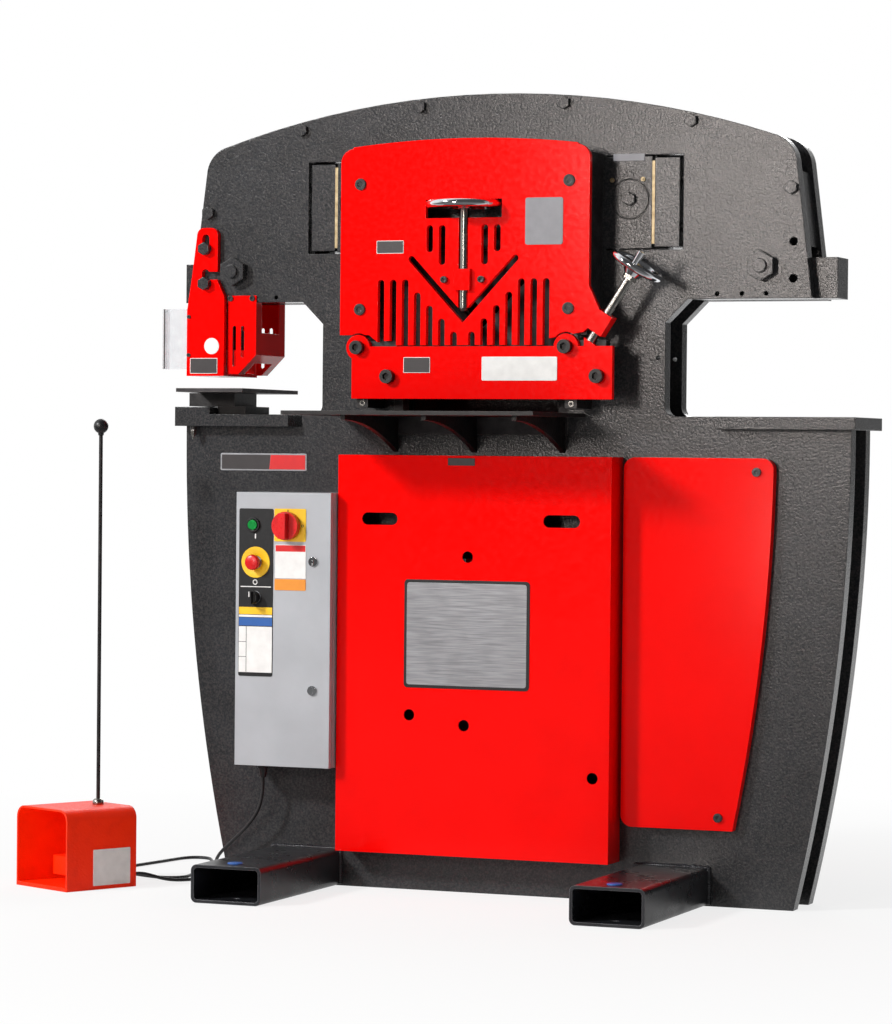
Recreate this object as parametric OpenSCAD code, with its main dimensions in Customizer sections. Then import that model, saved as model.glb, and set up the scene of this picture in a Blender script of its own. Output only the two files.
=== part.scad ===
// Hydraulic ironworker: two frame plates with a sliding beam between them,
// a punch station on the left, bar and angle shears in the middle, an open tool end on the right,
// and a guarded foot switch on its own cord. Millimetres, +Z up, origin on the floor between
// the anchor holes.

/* [Frame] */
// Height of the frame plates at the top of their dome
frame_h = 1628; // [1600:1:1680]
// Thickness of each frame plate
plate_t = 32; // [25:1:36]
// Gap between the two frame plates
plate_gap = 76; // [72:1:84]
// Depth of the arms' underside below the top of the dome
arm_drop = 420; // [405:1:435]
// Height of the throats
throat_h = 234; // [220:1:250]
// Half width of the neck between the throats
neck_half = 373; // [366:1:385]
// Chamfer at the top of each throat
throat_chamfer = 46; // [20:1:70]
// Fillet at the foot of each throat
throat_fillet = 20; // [8:1:40]
// Reach of the arms at their underside
arm_reach = 675; // [670:1:700]
// Reach of the arms at the shoulder
shoulder_reach = 640; // [630:1:650]
// Depth below the top at which the leaning arm sides reach the shoulder width
shoulder_drop = 140; // [130:1:155]
// Radius of the shoulder corners
shoulder_r = 60; // [30:1:80]
// Radius of the dome along the top
dome_r = 1900; // [1800:10:2100]
// Reach of the left side at the floor
base_left = 577; // [560:1:600]
// Reach of the right side at the floor
base_right = 650; // [630:1:670]
// Reach of the left side at its widest
waist_left = 684; // [675:1:700]
// Reach of the right side at its widest
waist_right = 758; // [740:1:775]

/* [Feet] */
// Distance between the centre lines of the feet
foot_spacing = 798; // [780:1:850]
// Width of the foot tube
foot_w = 152.4; // [120:0.1:160]
// Height of the foot tube
foot_h = 76.2; // [60:0.1:80]
// Wall of the foot tube
foot_wall = 6.4; // [4:0.1:10]
// Length of each foot from the frame plate
foot_l = 396; // [300:1:450]
// Diameter of the anchor holes
anchor_d = 18; // [12:0.5:24]
// Distance of the anchor holes from the foot's free end
anchor_in = 45; // [30:1:80]

/* [Beam] */
// Travel of the beam
stroke = 38; // [25:1:40]
// Clearance of the beam to the frame plates
beam_gap = 0.5; // [0.3:0.1:1]
// Height of the beam's ends
beam_end_h = 81; // [70:1:85]
// Overhang of the beam's left end beyond the arm
beam_out_left = 28; // [20:1:40]
// Overhang of the beam's right end beyond the arm
beam_out_right = 43; // [35:1:60]
// Diameter of the tie studs
stud_d = 27; // [24:1:36]

/* [Gibs] */
// Inner edge of the gib windows
gib_in = 246; // [240:1:252]
// Width of the gib windows
gib_w = 162; // [156:1:168]
// Height of the gib windows
gib_h = 190; // [170:1:195]
// Width of the keeper plates
keeper_w = 96; // [90:1:100]
// Thickness of the bronze strips
strip_t = 6; // [4:0.5:8]
// Width of the gib blocks
gib_block_w = 52; // [40:1:54]

/* [Shears] */
// Place of the shear's centre line
shear_x = -22; // [-26:1:-18]
// Half width of the opening for the blades
shear_half = 190; // [185:1:195]
// Width of the flat bar slot
bar_slot_w = 340; // [320:2:350]
// Height of the flat bar slot
bar_slot_h = 35; // [30:1:38]
// Depth of the shear table
table_d = 300; // [250:1:320]
// Width of the shear table
table_w = 536; // [500:1:560]
// Thickness of the shear table
table_t = 8; // [6:0.5:12]

/* [Guard plates] */
// Distance of the guard plates' front from the frame
guard_out = 102; // [98:1:110]
// Thickness of the guard plates
guard_t = 12; // [10:0.5:14]
// Width of the upper guard
guard_w = 537; // [530:1:545]
// Height of the upper guard above the throat floor at its sides
guard_top = 539; // [530:1:545]
// Pitch of the comb slots
comb_pitch = 26.5; // [25:0.1:27]
// Width of the slots
comb_w = 14; // [10:0.5:16]
// Diameter of the clamp spindles
spindle_d = 18; // [14:0.5:20]
// Diameter of the large handwheel
wheel_d = 157; // [140:1:160]
// Diameter of the small handwheel
small_wheel_d = 116; // [100:1:124]
// Travel of the flat bar hold-down
hold_travel = 20; // [10:1:22]
// Travel of the angle clamp
clamp_travel = 15; // [8:1:15]

/* [Punch station] */
// Distance of the punch from the end of the arm
punch_in = 53; // [48:1:62]
// Diameter of the punch
punch_d = 24; // [12:1:28]
// Diameter of the die
die_d = 55; // [40:1:60]
// Thickness of the bolsters
bolster_t = 25; // [20:1:30]
// Overhang of the bolsters beyond the frame
bolster_out = 30; // [20:1:40]
// Thickness of the stripper bracket
stripper_t = 13; // [8:0.5:16]
// Travel of the stripper in its slots
stripper_travel = 22; // [10:1:22]

/* [Covers] */
// Depth of the front cover
cover_d = 70; // [66:1:80]
// Left edge of the front and rear covers
cover_left = -305; // [-307:1:-300]
// Width of the front and rear covers
cover_w = 592; // [585:1:595]
// Height of the lower edge of the covers
cover_lo = 80; // [78:1:90]
// Distance of the covers' upper edge below the throat floors
cover_drop = 82; // [78:1:90]
// Depth of the rear cover
rear_d = 290; // [280:1:300]
// Thickness of the cover sheets
sheet = 2.5; // [1.5:0.1:4]
// Thickness of the right side panel
panel_d = 20; // [12:1:25]

/* [Control cabinet] */
// Width of the cabinet
cab_w = 212; // [205:1:220]
// Distance of the cabinet's upper edge below the throat floors
cab_drop = 161; // [145:1:185]
// Height of the cabinet's lower edge
cab_lo = 250; // [240:1:260]
// Depth of the cabinet with its door
cab_d = 100; // [90:1:110]
// Depth of the door
door_d = 13; // [12:0.5:16]

/* [Foot switch] */
// Width of the foot switch guard
pedal_w = 174; // [160:1:190]
// Depth of the foot switch guard
pedal_d = 176; // [160:1:190]
// Height of the foot switch guard
pedal_h = 165; // [150:1:180]
// Turn of the foot switch on the floor
pedal_turn = -26; // [-40:1:0]
// Height of the middle of the rod's ball
rod_h = 946; // [700:1:1000]
// Diameter of the cord
cord_d = 7; // [6:0.5:8]

/* [Hidden] */
$fn = 64;
// One overrun for all cuts
over = 2;
// Clearance between pieces that move past each other
slip = 0.3;
// Clearance of a bolt in its hole
loose = 0.3;
frame_d = 2 * plate_t + plate_gap;
face = -frame_d / 2;
inner = plate_gap / 2;
arc_steps = 20;

// Heights and reaches that follow the frame's
arm_z = frame_h - arm_drop;
table_z = arm_z - throat_h;
shoulder_z = frame_h - shoulder_drop;
cover_hi = table_z - cover_drop;
cab_h = table_z - cab_drop - cab_lo;
beam_left = arm_reach + beam_out_left;
beam_right = arm_reach + beam_out_right;
punch_reach = arm_reach - punch_in;

// Frame outline
waist_share = 0.955;
waist_z = table_z * waist_share;
bulge_left = waist_left - base_left;
bulge_right = waist_right - base_right;
left_r = (waist_z * waist_z + bulge_left * bulge_left) / (2 * bulge_left);
right_r = (waist_z * waist_z + bulge_right * bulge_right) / (2 * bulge_right);
dome_c = [0, frame_h - dome_r];
side_a = [arm_reach, arm_z];
side_b = [shoulder_reach, shoulder_z];
side_u = (side_b - side_a) / norm(side_b - side_a);
side_n = [-side_u[1], side_u[0]];
corner_p = side_a + shoulder_r * side_n - dome_c;
corner_pu = corner_p * side_u;
corner_t = -corner_pu + sqrt(corner_pu * corner_pu - corner_p * corner_p + pow(dome_r - shoulder_r, 2));
corner_c = side_a + shoulder_r * side_n + corner_t * side_u;
side_angle = atan2(-side_n[1], -side_n[0]);
dome_angle = atan2(corner_c[1] - dome_c[1], corner_c[0] - dome_c[0]);
shelf_z = table_z - bolster_t;
bolster_from = [64, 114];
bolster_in_left = neck_half + bolster_from[0];
bolster_gap = 18;
notch_in_left = bolster_in_left - bolster_gap;
bolster_in_right = neck_half + bolster_from[1];

function arc(c, r, a0, a1) =
    [for (i = [0:arc_steps]) let (a = a0 + (a1 - a0) * i / arc_steps) c + r * [cos(a), sin(a)]];
function side_x(z) = arm_reach + (shoulder_reach - arm_reach) * (z - arm_z) / (shoulder_z - arm_z);
function dome_z(x, inset) = dome_c[1] + sqrt(pow(dome_r - inset, 2) - x * x);

outline = concat(
    [[-base_left, 0]],
    arc([waist_right - right_r, waist_z], right_r, -asin(waist_z / right_r), 0),
    [[waist_right, shelf_z], [bolster_in_right, shelf_z], [bolster_in_right, table_z]],
    arc([neck_half + throat_fillet, table_z + throat_fillet], throat_fillet, 270, 180),
    [[neck_half, arm_z - throat_chamfer], [neck_half + throat_chamfer, arm_z], side_a],
    arc(corner_c, shoulder_r, side_angle, dome_angle),
    arc(dome_c, dome_r, dome_angle, 180 - dome_angle),
    arc([-corner_c[0], corner_c[1]], shoulder_r, 180 - dome_angle, 180 - side_angle),
    [[-arm_reach, arm_z], [-neck_half - throat_chamfer, arm_z], [-neck_half, arm_z - throat_chamfer]],
    arc([-neck_half - throat_fillet, table_z + throat_fillet], throat_fillet, 0, -90),
    [[-notch_in_left, table_z], [-notch_in_left, shelf_z], [-waist_left, shelf_z]],
    arc([left_r - waist_left, waist_z], left_r, 180, 180 + asin(waist_z / left_r))
);

// Frame bolts and spacers
bolt_d = 16;
bolt_af = 24;
bolt_head = 10;
nut_h = 13;
bolt_inset = 16;
dome_bolt_shares = [-0.627, -0.236, 0.228, 0.627];
side_bolt_shares = [[-1, 0.67], [1, 0.78]];
spacer_in = 6;
spacer_w = 26;
spacer_end_share = 0.74;
base_bar_h = 40;
base_bar_z = 12;
side_spacer_in = 34;
side_spacer_lo = 110;
frame_bolts_at = concat(
    [for (s = dome_bolt_shares) [s * arm_reach, dome_z(s * arm_reach, bolt_inset)]],
    [for (s = side_bolt_shares)
        let (z = arm_z + s[1] * (shoulder_z - arm_z)) [s[0] * (side_x(z) - bolt_inset), z]]
);
stud_share = 0.85;
stud_rise = 64;
stud_af = 52;
stud_nut = 20;
stud_end = 7;
studs_at = [for (s = [-1, 1]) [s * stud_share * arm_reach, arm_z + stud_rise]];
bracket_bolt_in = 38.5;
bracket_bolt_rises = [112, 39];
arm_hole_shares = [0.711, 0.787, 0.861];
arm_hole_rise = 10;
arm_hole_d = 9;
neck_hole_in = 15;
neck_hole_share = 0.5;
bracket_bolts_at = [for (r = bracket_bolt_rises) [arm_reach - bracket_bolt_in, arm_z + r]];

foot_round = 12;
foot_bend = 5;
access_r = 13;

// Gibs
gib_rise = 99;
gib_lo = arm_z + gib_rise;
gib_hi = gib_lo + gib_h;
keeper_gap = 3;
strip_end = 12;
strip_lo = gib_lo + strip_end;
strip_hi = gib_hi - strip_end;
block_gap = 6;
strip_x = gib_in + keeper_w;
gib_block_x = strip_x + strip_t;
ring_r = 41;
ring_w = 2.4;
ring_deep = 1.5;
keeper_bolt_share = 0.52;
keeper_rise_share = 0.537;
keeper_bolt_x = gib_in + keeper_w * keeper_bolt_share;
keeper_bolt_z = gib_lo + gib_h * keeper_rise_share;
nipple_shares = [[0.13, 0.737], [0.81, 0.742]];
nipple_r = 4.5;
set_screw_r = 5;
set_screw_shares = [0.25, 0.75];

// Shear station heights, measured from the throat floor
table_rise = 5;
shear_drop = 39;
shear_head = 102;
table_top = table_z + table_rise;
shear_lo = table_z - shear_drop;
shear_hi = arm_z + shear_head;
bar_slot_hi = table_top + bar_slot_h;
blade_h = 34;
blade_t = 20;
upper_blade_h = 50;
blade_side = 5;
beam_lift = 6;
beam_over = 3;
beam_lo = bar_slot_hi + beam_lift;
beam_hi = gib_hi + beam_over;
vee_rise = 188;
vee_z = table_z + vee_rise;
vee_leg = 108;
vee_edge = 13;
vee_slot = 44;
vee_pass = 74;
vee_blade = 30;
hood_lap = 12;
hood_d = 130;
vee_low = vee_z - vee_edge;
vee_high = vee_low + vee_slot;

// Cylinder and yoke
cyl_x = cover_left + cover_w / 2;
cyl_r = 85;
cyl_bore = 60;
cyl_lo_share = 0.34;
cyl_share = 0.31;
cyl_lo = cyl_lo_share * table_z;
cyl_h = cyl_share * table_z;
cyl_flange = 30;
cyl_half = 96;
window_share = 0.36;
window_h = window_share * table_z;
piston_h = 50;
piston_share = 0.5;
piston_rise = piston_share * cyl_h;
piston_gap = 0.3;
rod_r = 34;
head_share = 0.79;
head_lo = head_share * table_z;
head_h = 80;
head_half = 310;
pull_r = 22;
pull_half = 285;
pull_in = 60;
port_r = 14;
port_share = 0.87;
port_lift = 16;
port_out = 12;

// Power unit
tank_lo = 100;
tank_h = 230;
tank_y = 112;
tank_d = 225;
tank_side = 36;
tank_wall = 4;
ear_w = 40;
motor_in = 177;
motor_x = cover_left + cover_w - motor_in;
motor_r = 95;
motor_share = 0.5;
motor_h = motor_share * (cover_hi - tank_lo - tank_h);
motor_fin = 6;
fin_count = 16;
cowl_h = 50;
shaft_r = 20;
pump_r = 45;
pump_h = 130;
valve = [110, 90, 80];
valve_port = 34;
valve_top = tank_lo + tank_h + valve[2];
valve_side = valve_top - valve_port;
valve_from = 155;
valve_x = cover_left + valve_from;
ports_z = [valve_side + port_lift, cyl_lo + port_share * cyl_h];
hose_r = 9;
valve_in = 30;

// Beam details
hump_gap = 22;
hump_out_share = 0.9;
hump_h = 110;
end_rise = 1;
slot_room = 2;
holder_r = 30;
holder_h = 58;
collar_r = 35;
collar_h = 40;

// Upper guard
guard_y = face - guard_out;
guard_mid = guard_y + guard_t / 2;
guard_l = shear_x - guard_w / 2;
guard_r = shear_x + guard_w / 2;
guard_hi = table_z + guard_top;
guard_crown = 17;
guard_corner = 28;
guard_rise = 161;
comb_rise = 140;
guard_lo = table_z + guard_rise;
comb_lo = table_z + comb_rise;
comb_first_h = 27;
guard_step = 64;
guard_slope = 28;
guard_heel_h = 12;
guard_toe = 258;
guard_toe_rise = 166;
guard_knee_rise = 258;
boss_touch = 43;
comb_first_share = 0.73;
comb_count = 7;
last_slot = shear_x + (comb_first_share + comb_count - 1) * comb_pitch;
comb_ramp = 4;
tongue_h = 9;
vee_slot_w = 13;
vee_reach = [112, 119];
vee_lift = 7;
guard_vee = vee_z + vee_lift;
window_half = 82;
window_rise = 396;
window_tall = 37;
window_lo = table_z + window_rise;
fine_first = 46;
fine_step = 27;
fine_gap = 14;
fine_lengths = [80, 54];
screw_half = 225;
screw_rises = [213, 467];
screw_r = 12;
screw_h = 2;
small_screw_half = 40;
small_screw_rise = 272;
small_screw_r = 7;
boss_w = 35;
boss_d = 30;
boss_rise = 250;
boss_lo = table_z + boss_rise;
boss_h = 43;
house_in = 8;
house_wall = 12;
house_drop = 13;
spindle_room = 1;
tip_rise = 209;
tip_h = 6;
tip_r = 6;

// Flat bar hold-down
hold_left = 242;
hold_right = 319;
hold_rise = 32;
hold_h = 106;
hold_l = shear_x - hold_left;
hold_r = shear_x + hold_right;
hold_lo = table_z + hold_rise;
hold_hi = hold_lo + hold_h;
hold_shares = [[-0.425, 0.98], [-0.3, 0.425], [0.411, 0.99], [0.537, 0.435]];
hold_bolts_at = [for (s = hold_shares) [shear_x + s[0] * guard_w, hold_lo + s[1] * (hold_hi - hold_lo)]];
lobe_r = 26;
lobe_gap = 3;
shoulder_d = 16;
cap_r = 14;
cap_h = 14;
socket_af = 14;
push_angle = 32.9;
push = [-sin(push_angle), -cos(push_angle)];
push_side = [cos(push_angle), -sin(push_angle)];
seat_at = [270.6, 147.6];
seat = [shear_x + seat_at[0], table_z + seat_at[1]];
seat_half = 14;
guide_t = 25;
guide_room = 5;
guide_foot_w = 25;
guide_foot_rise = 14;
guide_foot_lo = table_z + guide_foot_rise;
guide_foot_shares = [-0.415, 0.425];
boss_from = 21;
boss_len = 44;
spindle_len = 155;
pitch_nut_af = 27;
pitch_nut_h = 9;

// Handwheels
rim_r = 8;
web_t = 6;
hub_r = 15;
hub_h = 17;
small_rim_r = 7.5;
small_hub_r = 17;
small_hub_h = 10;
small_dish = 22;
peg_r = 5;
peg_h = 34;
peg_flare_share = 1.3;
peg_turn = -80;
wheel_room = 4;
wheel_z = window_lo + clamp_travel + rim_r + wheel_room;
hub_up = 8;

// Shear table
table_left = 310;
table_x = shear_x - table_left;
gusset_t = 10;
gusset_h = 72;
gusset_nose = 10;
gusset_shares = [0.233, 0.556, 0.912];
gusset_in = 22;

// Punch station
punch_x = -punch_reach;
bolster_past = [75, 16];
bolster_left_end = punch_reach + bolster_past[0];
bolster_right_end = waist_right + bolster_past[1];
lip_w = 80;
lip_h = 15;
die_base_share = 0.21;
die_base = [die_base_share * (arm_reach - neck_half), 120, 17];
die_base_x = lip_w + slip - bolster_left_end;
die_block = [105, 110, 28];
die_block_out = 63.5;
die_block_x = punch_x - die_block_out;
die_plate = [151, 282, 8];
die_plate_left = 39;
die_plate_x = punch_x - die_plate_left;
die_plate_out = 100;
die_plate_y = face - die_plate_out;
die_seat = 20;
slug_r = 15;
slug_room = 2;
die_gap = 0.3;
die_top = 2;
die_hole = 13;
strip_past = 4;
strip_l = arm_reach + strip_past;
strip_w = 86;
strip_r = strip_l - strip_w;
strip_top_in = [22, 70];
strip_top_l = strip_l - strip_top_in[0];
strip_top_r = strip_l - strip_top_in[1];
strip_rise = 80;
strip_over = 156;
strip_bottom = table_z + strip_rise;
strip_top = arm_z + strip_over;
strip_base_t = 8;
tip_clear = 1;
punch_tip = strip_bottom + strip_base_t + tip_clear;
strip_corner = 16;
strip_knee = 12;
strip_elbow = 46;
strip_hip = 54;
strip_hip_in = 11;
strip_flare = 17;
strip_hole_r = 20;
hook_share = 0.77;
strip_slot_w = bolt_d + 2 * loose;
washer_r = 13;
washer_t = 3;
guard_sheet = 3;
pg_gap = 4;
pg_w = 65;
pg_l = strip_r - pg_gap;
pg_r = pg_l - pg_w;
pg_top = min(arm_z, arm_z - throat_chamfer + pg_r - neck_half) - slip;
pg_over = 14;
pg_rise = 84;
pg_hi = arm_z + pg_over;
pg_lo = table_z + pg_rise;
pg_cham = 40;
pg_gap_share = 0.6;
pg_slots = [[15, 20, 97], [34, 39, 97]];
pg_slot_w = 8;
pg_notch_half = 44;
pg_notch_h = 63;
shield_past = 67;
shield_w = 102;
shield_l = arm_reach + shield_past;
shield_r = shield_l - shield_w;
shield_t = 4;
shield_rise = 95;
shield_drop = 13;
shield_lo = table_z + shield_rise;
shield_hi = arm_z - shield_drop;
shield_lip = 26;

// Covers
slot_w = 78;
slot_h = 25;
slot_rise_share = 0.84;
slot_shares = [0.157, 0.823];
hole_d = 23;
hole_shares = [[0.483, 0.748], [0.272, 0.35], [0.474, 0.328], [0.941, 0.21]];
louvre_count = 9;
louvre_w = 320;
louvre_h = 14;
louvre_pitch = 34;
louvre_share = 0.5;
side_gap = 8;
side_l = cover_left + cover_w + side_gap;
side_r = 607;
side_lo = 153;
side_corner = 24;
button_r = 9;
button_h = 5;
panel_screw_shares = [[0.888, 0.963], [0.656, 0.035]];

// Cabinet
cab_gap = 3;
cab_l = cover_left - cab_gap - cab_w;
cab_r = cab_l + cab_w;
cab_y = face - cab_d;
door_gap = 3;
box_y = cab_y + door_d + door_gap;
hinge_in = [6, 8];
hinge_r = 2.5;
hinge_fit = 0.05;
hinge_eye_r = 5;
hinge_eye_h = 16;
hinge_lug_h = 5;
hinge_shares = [0.1, 0.88];
hinge_at = [cab_l + hinge_in[0], cab_y + hinge_in[1]];
start_share = [0.184, 0.881];
start_at = on_door(start_share);
estop_share = [0.212, 0.744];
estop_at = on_door(estop_share);
selector_share = [0.203, 0.616];
selector_at = on_door(selector_share);
disconnect_share = [0.55, 0.879];
disconnect_at = on_door(disconnect_share);
latch_shares = [[0.82, 0.75], [0.82, 0.281]];
latches_at = [for (s = latch_shares) on_door(s)];
function on_door(share) = [cab_l + cab_w * share[0], cab_lo + cab_h * share[1]];
stem_r = 10;
stem_in = 14;
start_h = 8;
estop_r = 16;
estop_h = 12;
estop_out = 14;
disconnect_out = 4;
bezel = 3;
selector_r = 13;
selector_h = 18;
grip_w = 9;
grip_h = 8;
disconnect_r = 29;
disconnect_h = 14;
disconnect_grip = [16, 52, 16];
latch_r = 10;
latch_h = 3;
latch_stem = 5;
cam = [10, 30, 3];
cam_in = 6;
slit = [3, 14, 1.5];

// Cord, glands and foot switch
gland_r = 13;
gland_h = 9;
gland_tip = 19;
gland_tip_r = 6;
gland_neck_r = 10;
pedal_at = [-811, -311];
pedal_wall = 4;
pedal_round = 24;
pedal_base_h = 8;
treadle = [110, 95, 38];
treadle_y = -25;
treadle_z = 22;
treadle_round = 14;
tread_pin_r = 5;
tread_pin_y = 58;
tread_pin_z = 34;
tread_lug = 10;
rod_d = 8;
ball_r = 15;
rod_nut_af = 19;
rod_nut_h = 9;
rod_y_share = 0.28;
rod_x = 7;
inlet_x = 40;
inlet_z = 20;
inlet_l = 22;
route = [
    [-478, -120, 222], [-478, -120, 190], [-487, -118, 152], [-515, -114.5, 118], [-554, -107, 84],
    [-592, -89, 55], [-615, -56, 34], [-640, -8, 19], [-670, 56, 8], [-702, 121, 4.2],
    [-736, 183, 3.6], [-757, 221, 3.6], [-771, 239, 3.6], [-792, 246, 3.6], [-812, 238, 3.6],
    [-823, 218, 3.6], [-829, 180, 3.6], [-838, 115, 3.6], [-852, 38, 3.6], [-855, -12, 3.6],
    [-842, -56, 3.6], [-811, -89, 3.6], [-763, -112, 3.6], [-719, -132, 3.6], [-691, -135, 3.6],
    [-669, -121, 3.6], [-662, -96, 3.6], [-667, -70, 3.6], [-670, -44, 3.6], [-660, -20, 3.6],
    [-636, -10, 3.6], [-612, -20, 3.6], [-602, -44, 3.6], [-606, -78, 3.6], [-624, -124, 3.6],
    [-645, -161, 3.6], [-667, -179, 5.5], [-693, -188, 12], [-713, -202, 20], [-727, -230, 20]
];
cord_sides = 8;
function between(a, b, share) = a + (b - a) * share;
inlet_off = 10;
valve_right = valve_x + valve[0] / 2;
valve_inlet = valve_x - inlet_off;
hose_steps = [[0, 97, 0], [0, 118, 0], [0.17, 146, 0.25], [0.48, 158, 0.75], [0.73, 160, 1], [1, 160, 1]];
hose_falls = [[0, 97, 0], [0, 122, 0], [0.14, 162, 0.07], [0.54, 190, 0.29], [0.93, 195, 0.62],
    [1, 195, 0.84], [1, 195, 1]];
hose_routes = [
    [for (h = hose_steps)
        [between(cyl_x, valve_right, h[0]), h[1], between(ports_z[0], valve_side, h[2])]],
    [for (h = hose_falls)
        [between(cyl_x, valve_inlet, h[0]), h[1], between(ports_z[1], valve_top, h[2])]]
];

// Shared shapes

// A shape drawn in X and Z, made solid from front_y backwards
module upright(front_y, depth) {
    translate([0, front_y + depth, 0]) rotate([90, 0, 0]) linear_extrude(depth) children();
}
module block(low, high) {
    translate(low) cube(high - low);
}
module rod_y(at, front_y, depth, r) {
    translate([at[0], front_y, at[1]]) rotate([-90, 0, 0]) cylinder(h = depth, r = r);
}
module hex_y(at, front_y, depth, flats) {
    translate([at[0], front_y, at[1]]) rotate([-90, 0, 0]) rotate(30)
        cylinder(h = depth, r = flats / (2 * cos(30)), $fn = 6);
}
module rounded(low, high, r) {
    translate([low[0] + r, low[1]]) square([high[0] - low[0] - 2 * r, high[1] - low[1]]);
    translate([low[0], low[1] + r]) square([high[0] - low[0], high[1] - low[1] - 2 * r]);
    for (x = [low[0] + r, high[0] - r], z = [low[1] + r, high[1] - r]) translate([x, z]) circle(r = r);
}
module slot_2d(a, b, w) {
    run = b - a;
    translate(a) circle(d = w);
    translate(b) circle(d = w);
    translate(a) rotate(atan2(run[1], run[0])) translate([0, -w / 2]) square([norm(run), w]);
}
// A band in the shape of a V, its lower edge at apex height low
module vee(low, height, reach) {
    polygon([[shear_x - reach, low + reach], [shear_x, low], [shear_x + reach, low + reach],
        [shear_x + reach, low + reach + height], [shear_x, low + height],
        [shear_x - reach, low + reach + height]]);
}
module both_sides() {
    children();
    mirror([1, 0, 0]) children();
}
// Along the flat spindle from its tip, at distance s, looking down its axis
module on_push(s) {
    translate([seat[0] - push[0] * s, guard_mid, seat[1] - push[1] * s])
        rotate([0, push_angle, 0]) children();
}
module pedal_frame() {
    translate([pedal_at[0], pedal_at[1], 0]) rotate(pedal_turn) children();
}

// A point of a curve that bends evenly past its four points
function spline(p0, p1, p2, p3, t) =
    (pow(1 - t, 3) * p0 + (3 * pow(t, 3) - 6 * t * t + 4) * p1
        + (-3 * pow(t, 3) + 3 * t * t + 3 * t + 1) * p2 + pow(t, 3) * p3) / 6;
function smooth(points) =
    let (last = len(points) - 1,
        line = concat([2 * points[0] - points[1]], points, [2 * points[last] - points[last - 1]]))
    concat([for (i = [0:last - 1], t = [0, 0.5])
        spline(line[i], line[i + 1], line[i + 2], line[i + 3], t)], [points[last]]);
function unit(v) = v / norm(v);
// A direction that no stretch of cord or hose follows
lean = [-0.6, 0.3, 1];
// A round tube swept along points, its rings square to the path
module tube(points, r, sides) {
    last = len(points) - 1;
    heads = [for (i = [0:last]) unit(points[min(i + 1, last)] - points[max(i - 1, 0)])];
    rights = [for (h = heads) unit(cross(h, lean))];
    rings = [for (i = [0:last], k = [0:sides - 1])
        let (a = 360 * k / sides, up = cross(rights[i], heads[i]))
            points[i] + r * (cos(a) * rights[i] + sin(a) * up)];
    walls = [for (i = [0:last - 1], k = [0:sides - 1])
        let (a = i * sides + k, b = i * sides + (k + 1) % sides)
            each [[a, a + sides, b], [b, a + sides, b + sides]]];
    caps = [for (k = [1:sides - 2]) each [[0, k, k + 1],
        [last * sides, last * sides + k + 1, last * sides + k]]];
    polyhedron(points = rings, faces = concat(walls, caps));
}

// Frame

module frame_plate_2d() {
    difference() {
        polygon(outline);
        both_sides() translate([gib_in, gib_lo]) square([gib_w, gib_h]);
        translate([shear_x - shear_half, shear_lo]) square([2 * shear_half, shear_hi - shear_lo]);
        translate([cyl_x - cyl_half, cyl_lo]) square([2 * cyl_half, window_h]);
        for (p = frame_bolts_at) translate(p) circle(d = bolt_d + 2 * loose);
        for (p = studs_at) translate(p) circle(d = stud_d + 2 * loose);
        both_sides() for (p = bracket_bolts_at) translate(p) circle(d = bolt_d + 2 * loose);
        both_sides() for (s = arm_hole_shares)
            translate([s * arm_reach, arm_z + arm_hole_rise]) circle(d = arm_hole_d);
        translate([neck_half - neck_hole_in, table_z + (arm_z - table_z) * neck_hole_share])
            circle(d = arm_hole_d);
    }
}
module front_plate() {
    color("#48474a") upright(face, plate_t) frame_plate_2d();
}
module rear_plate() {
    color("#48474a") upright(inner, plate_t) frame_plate_2d();
}
module ring_2d(c, r, w) {
    difference() {
        translate(c) circle(r = r, $fn = 360);
        translate(c) circle(r = r - w, $fn = 360);
    }
}
module side_strip_2d(low, high) {
    edge = spacer_in + spacer_w;
    polygon([[side_x(low) - edge, low], [side_x(low) - spacer_in, low],
        [side_x(high) - spacer_in, high], [side_x(high) - edge, high]]);
}
module frame_spacers() {
    reach = spacer_end_share * arm_reach;
    color("#2c2c2e") upright(-inner, plate_gap) difference() {
        union() {
            intersection() {
                ring_2d(dome_c, dome_r - spacer_in, spacer_w);
                translate([-reach, shoulder_z]) square([2 * reach, frame_h - shoulder_z]);
            }
            both_sides() side_strip_2d(gib_lo + spacer_in, shoulder_z - spacer_w);
            intersection() {
                ring_2d([waist_right - right_r, waist_z], right_r - side_spacer_in, spacer_w);
                translate([base_right / 2, side_spacer_lo]) square([waist_right, waist_z - side_spacer_lo]);
            }
            intersection() {
                ring_2d([left_r - waist_left, waist_z], left_r - side_spacer_in, spacer_w);
                translate([-waist_left, side_spacer_lo]) square([waist_left / 2, waist_z - side_spacer_lo]);
            }
            translate([side_spacer_in - base_left, base_bar_z])
                square([base_left + base_right - 2 * side_spacer_in, base_bar_h]);
        }
        for (p = frame_bolts_at) translate(p) circle(d = bolt_d + 2 * loose);
    }
}
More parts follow.
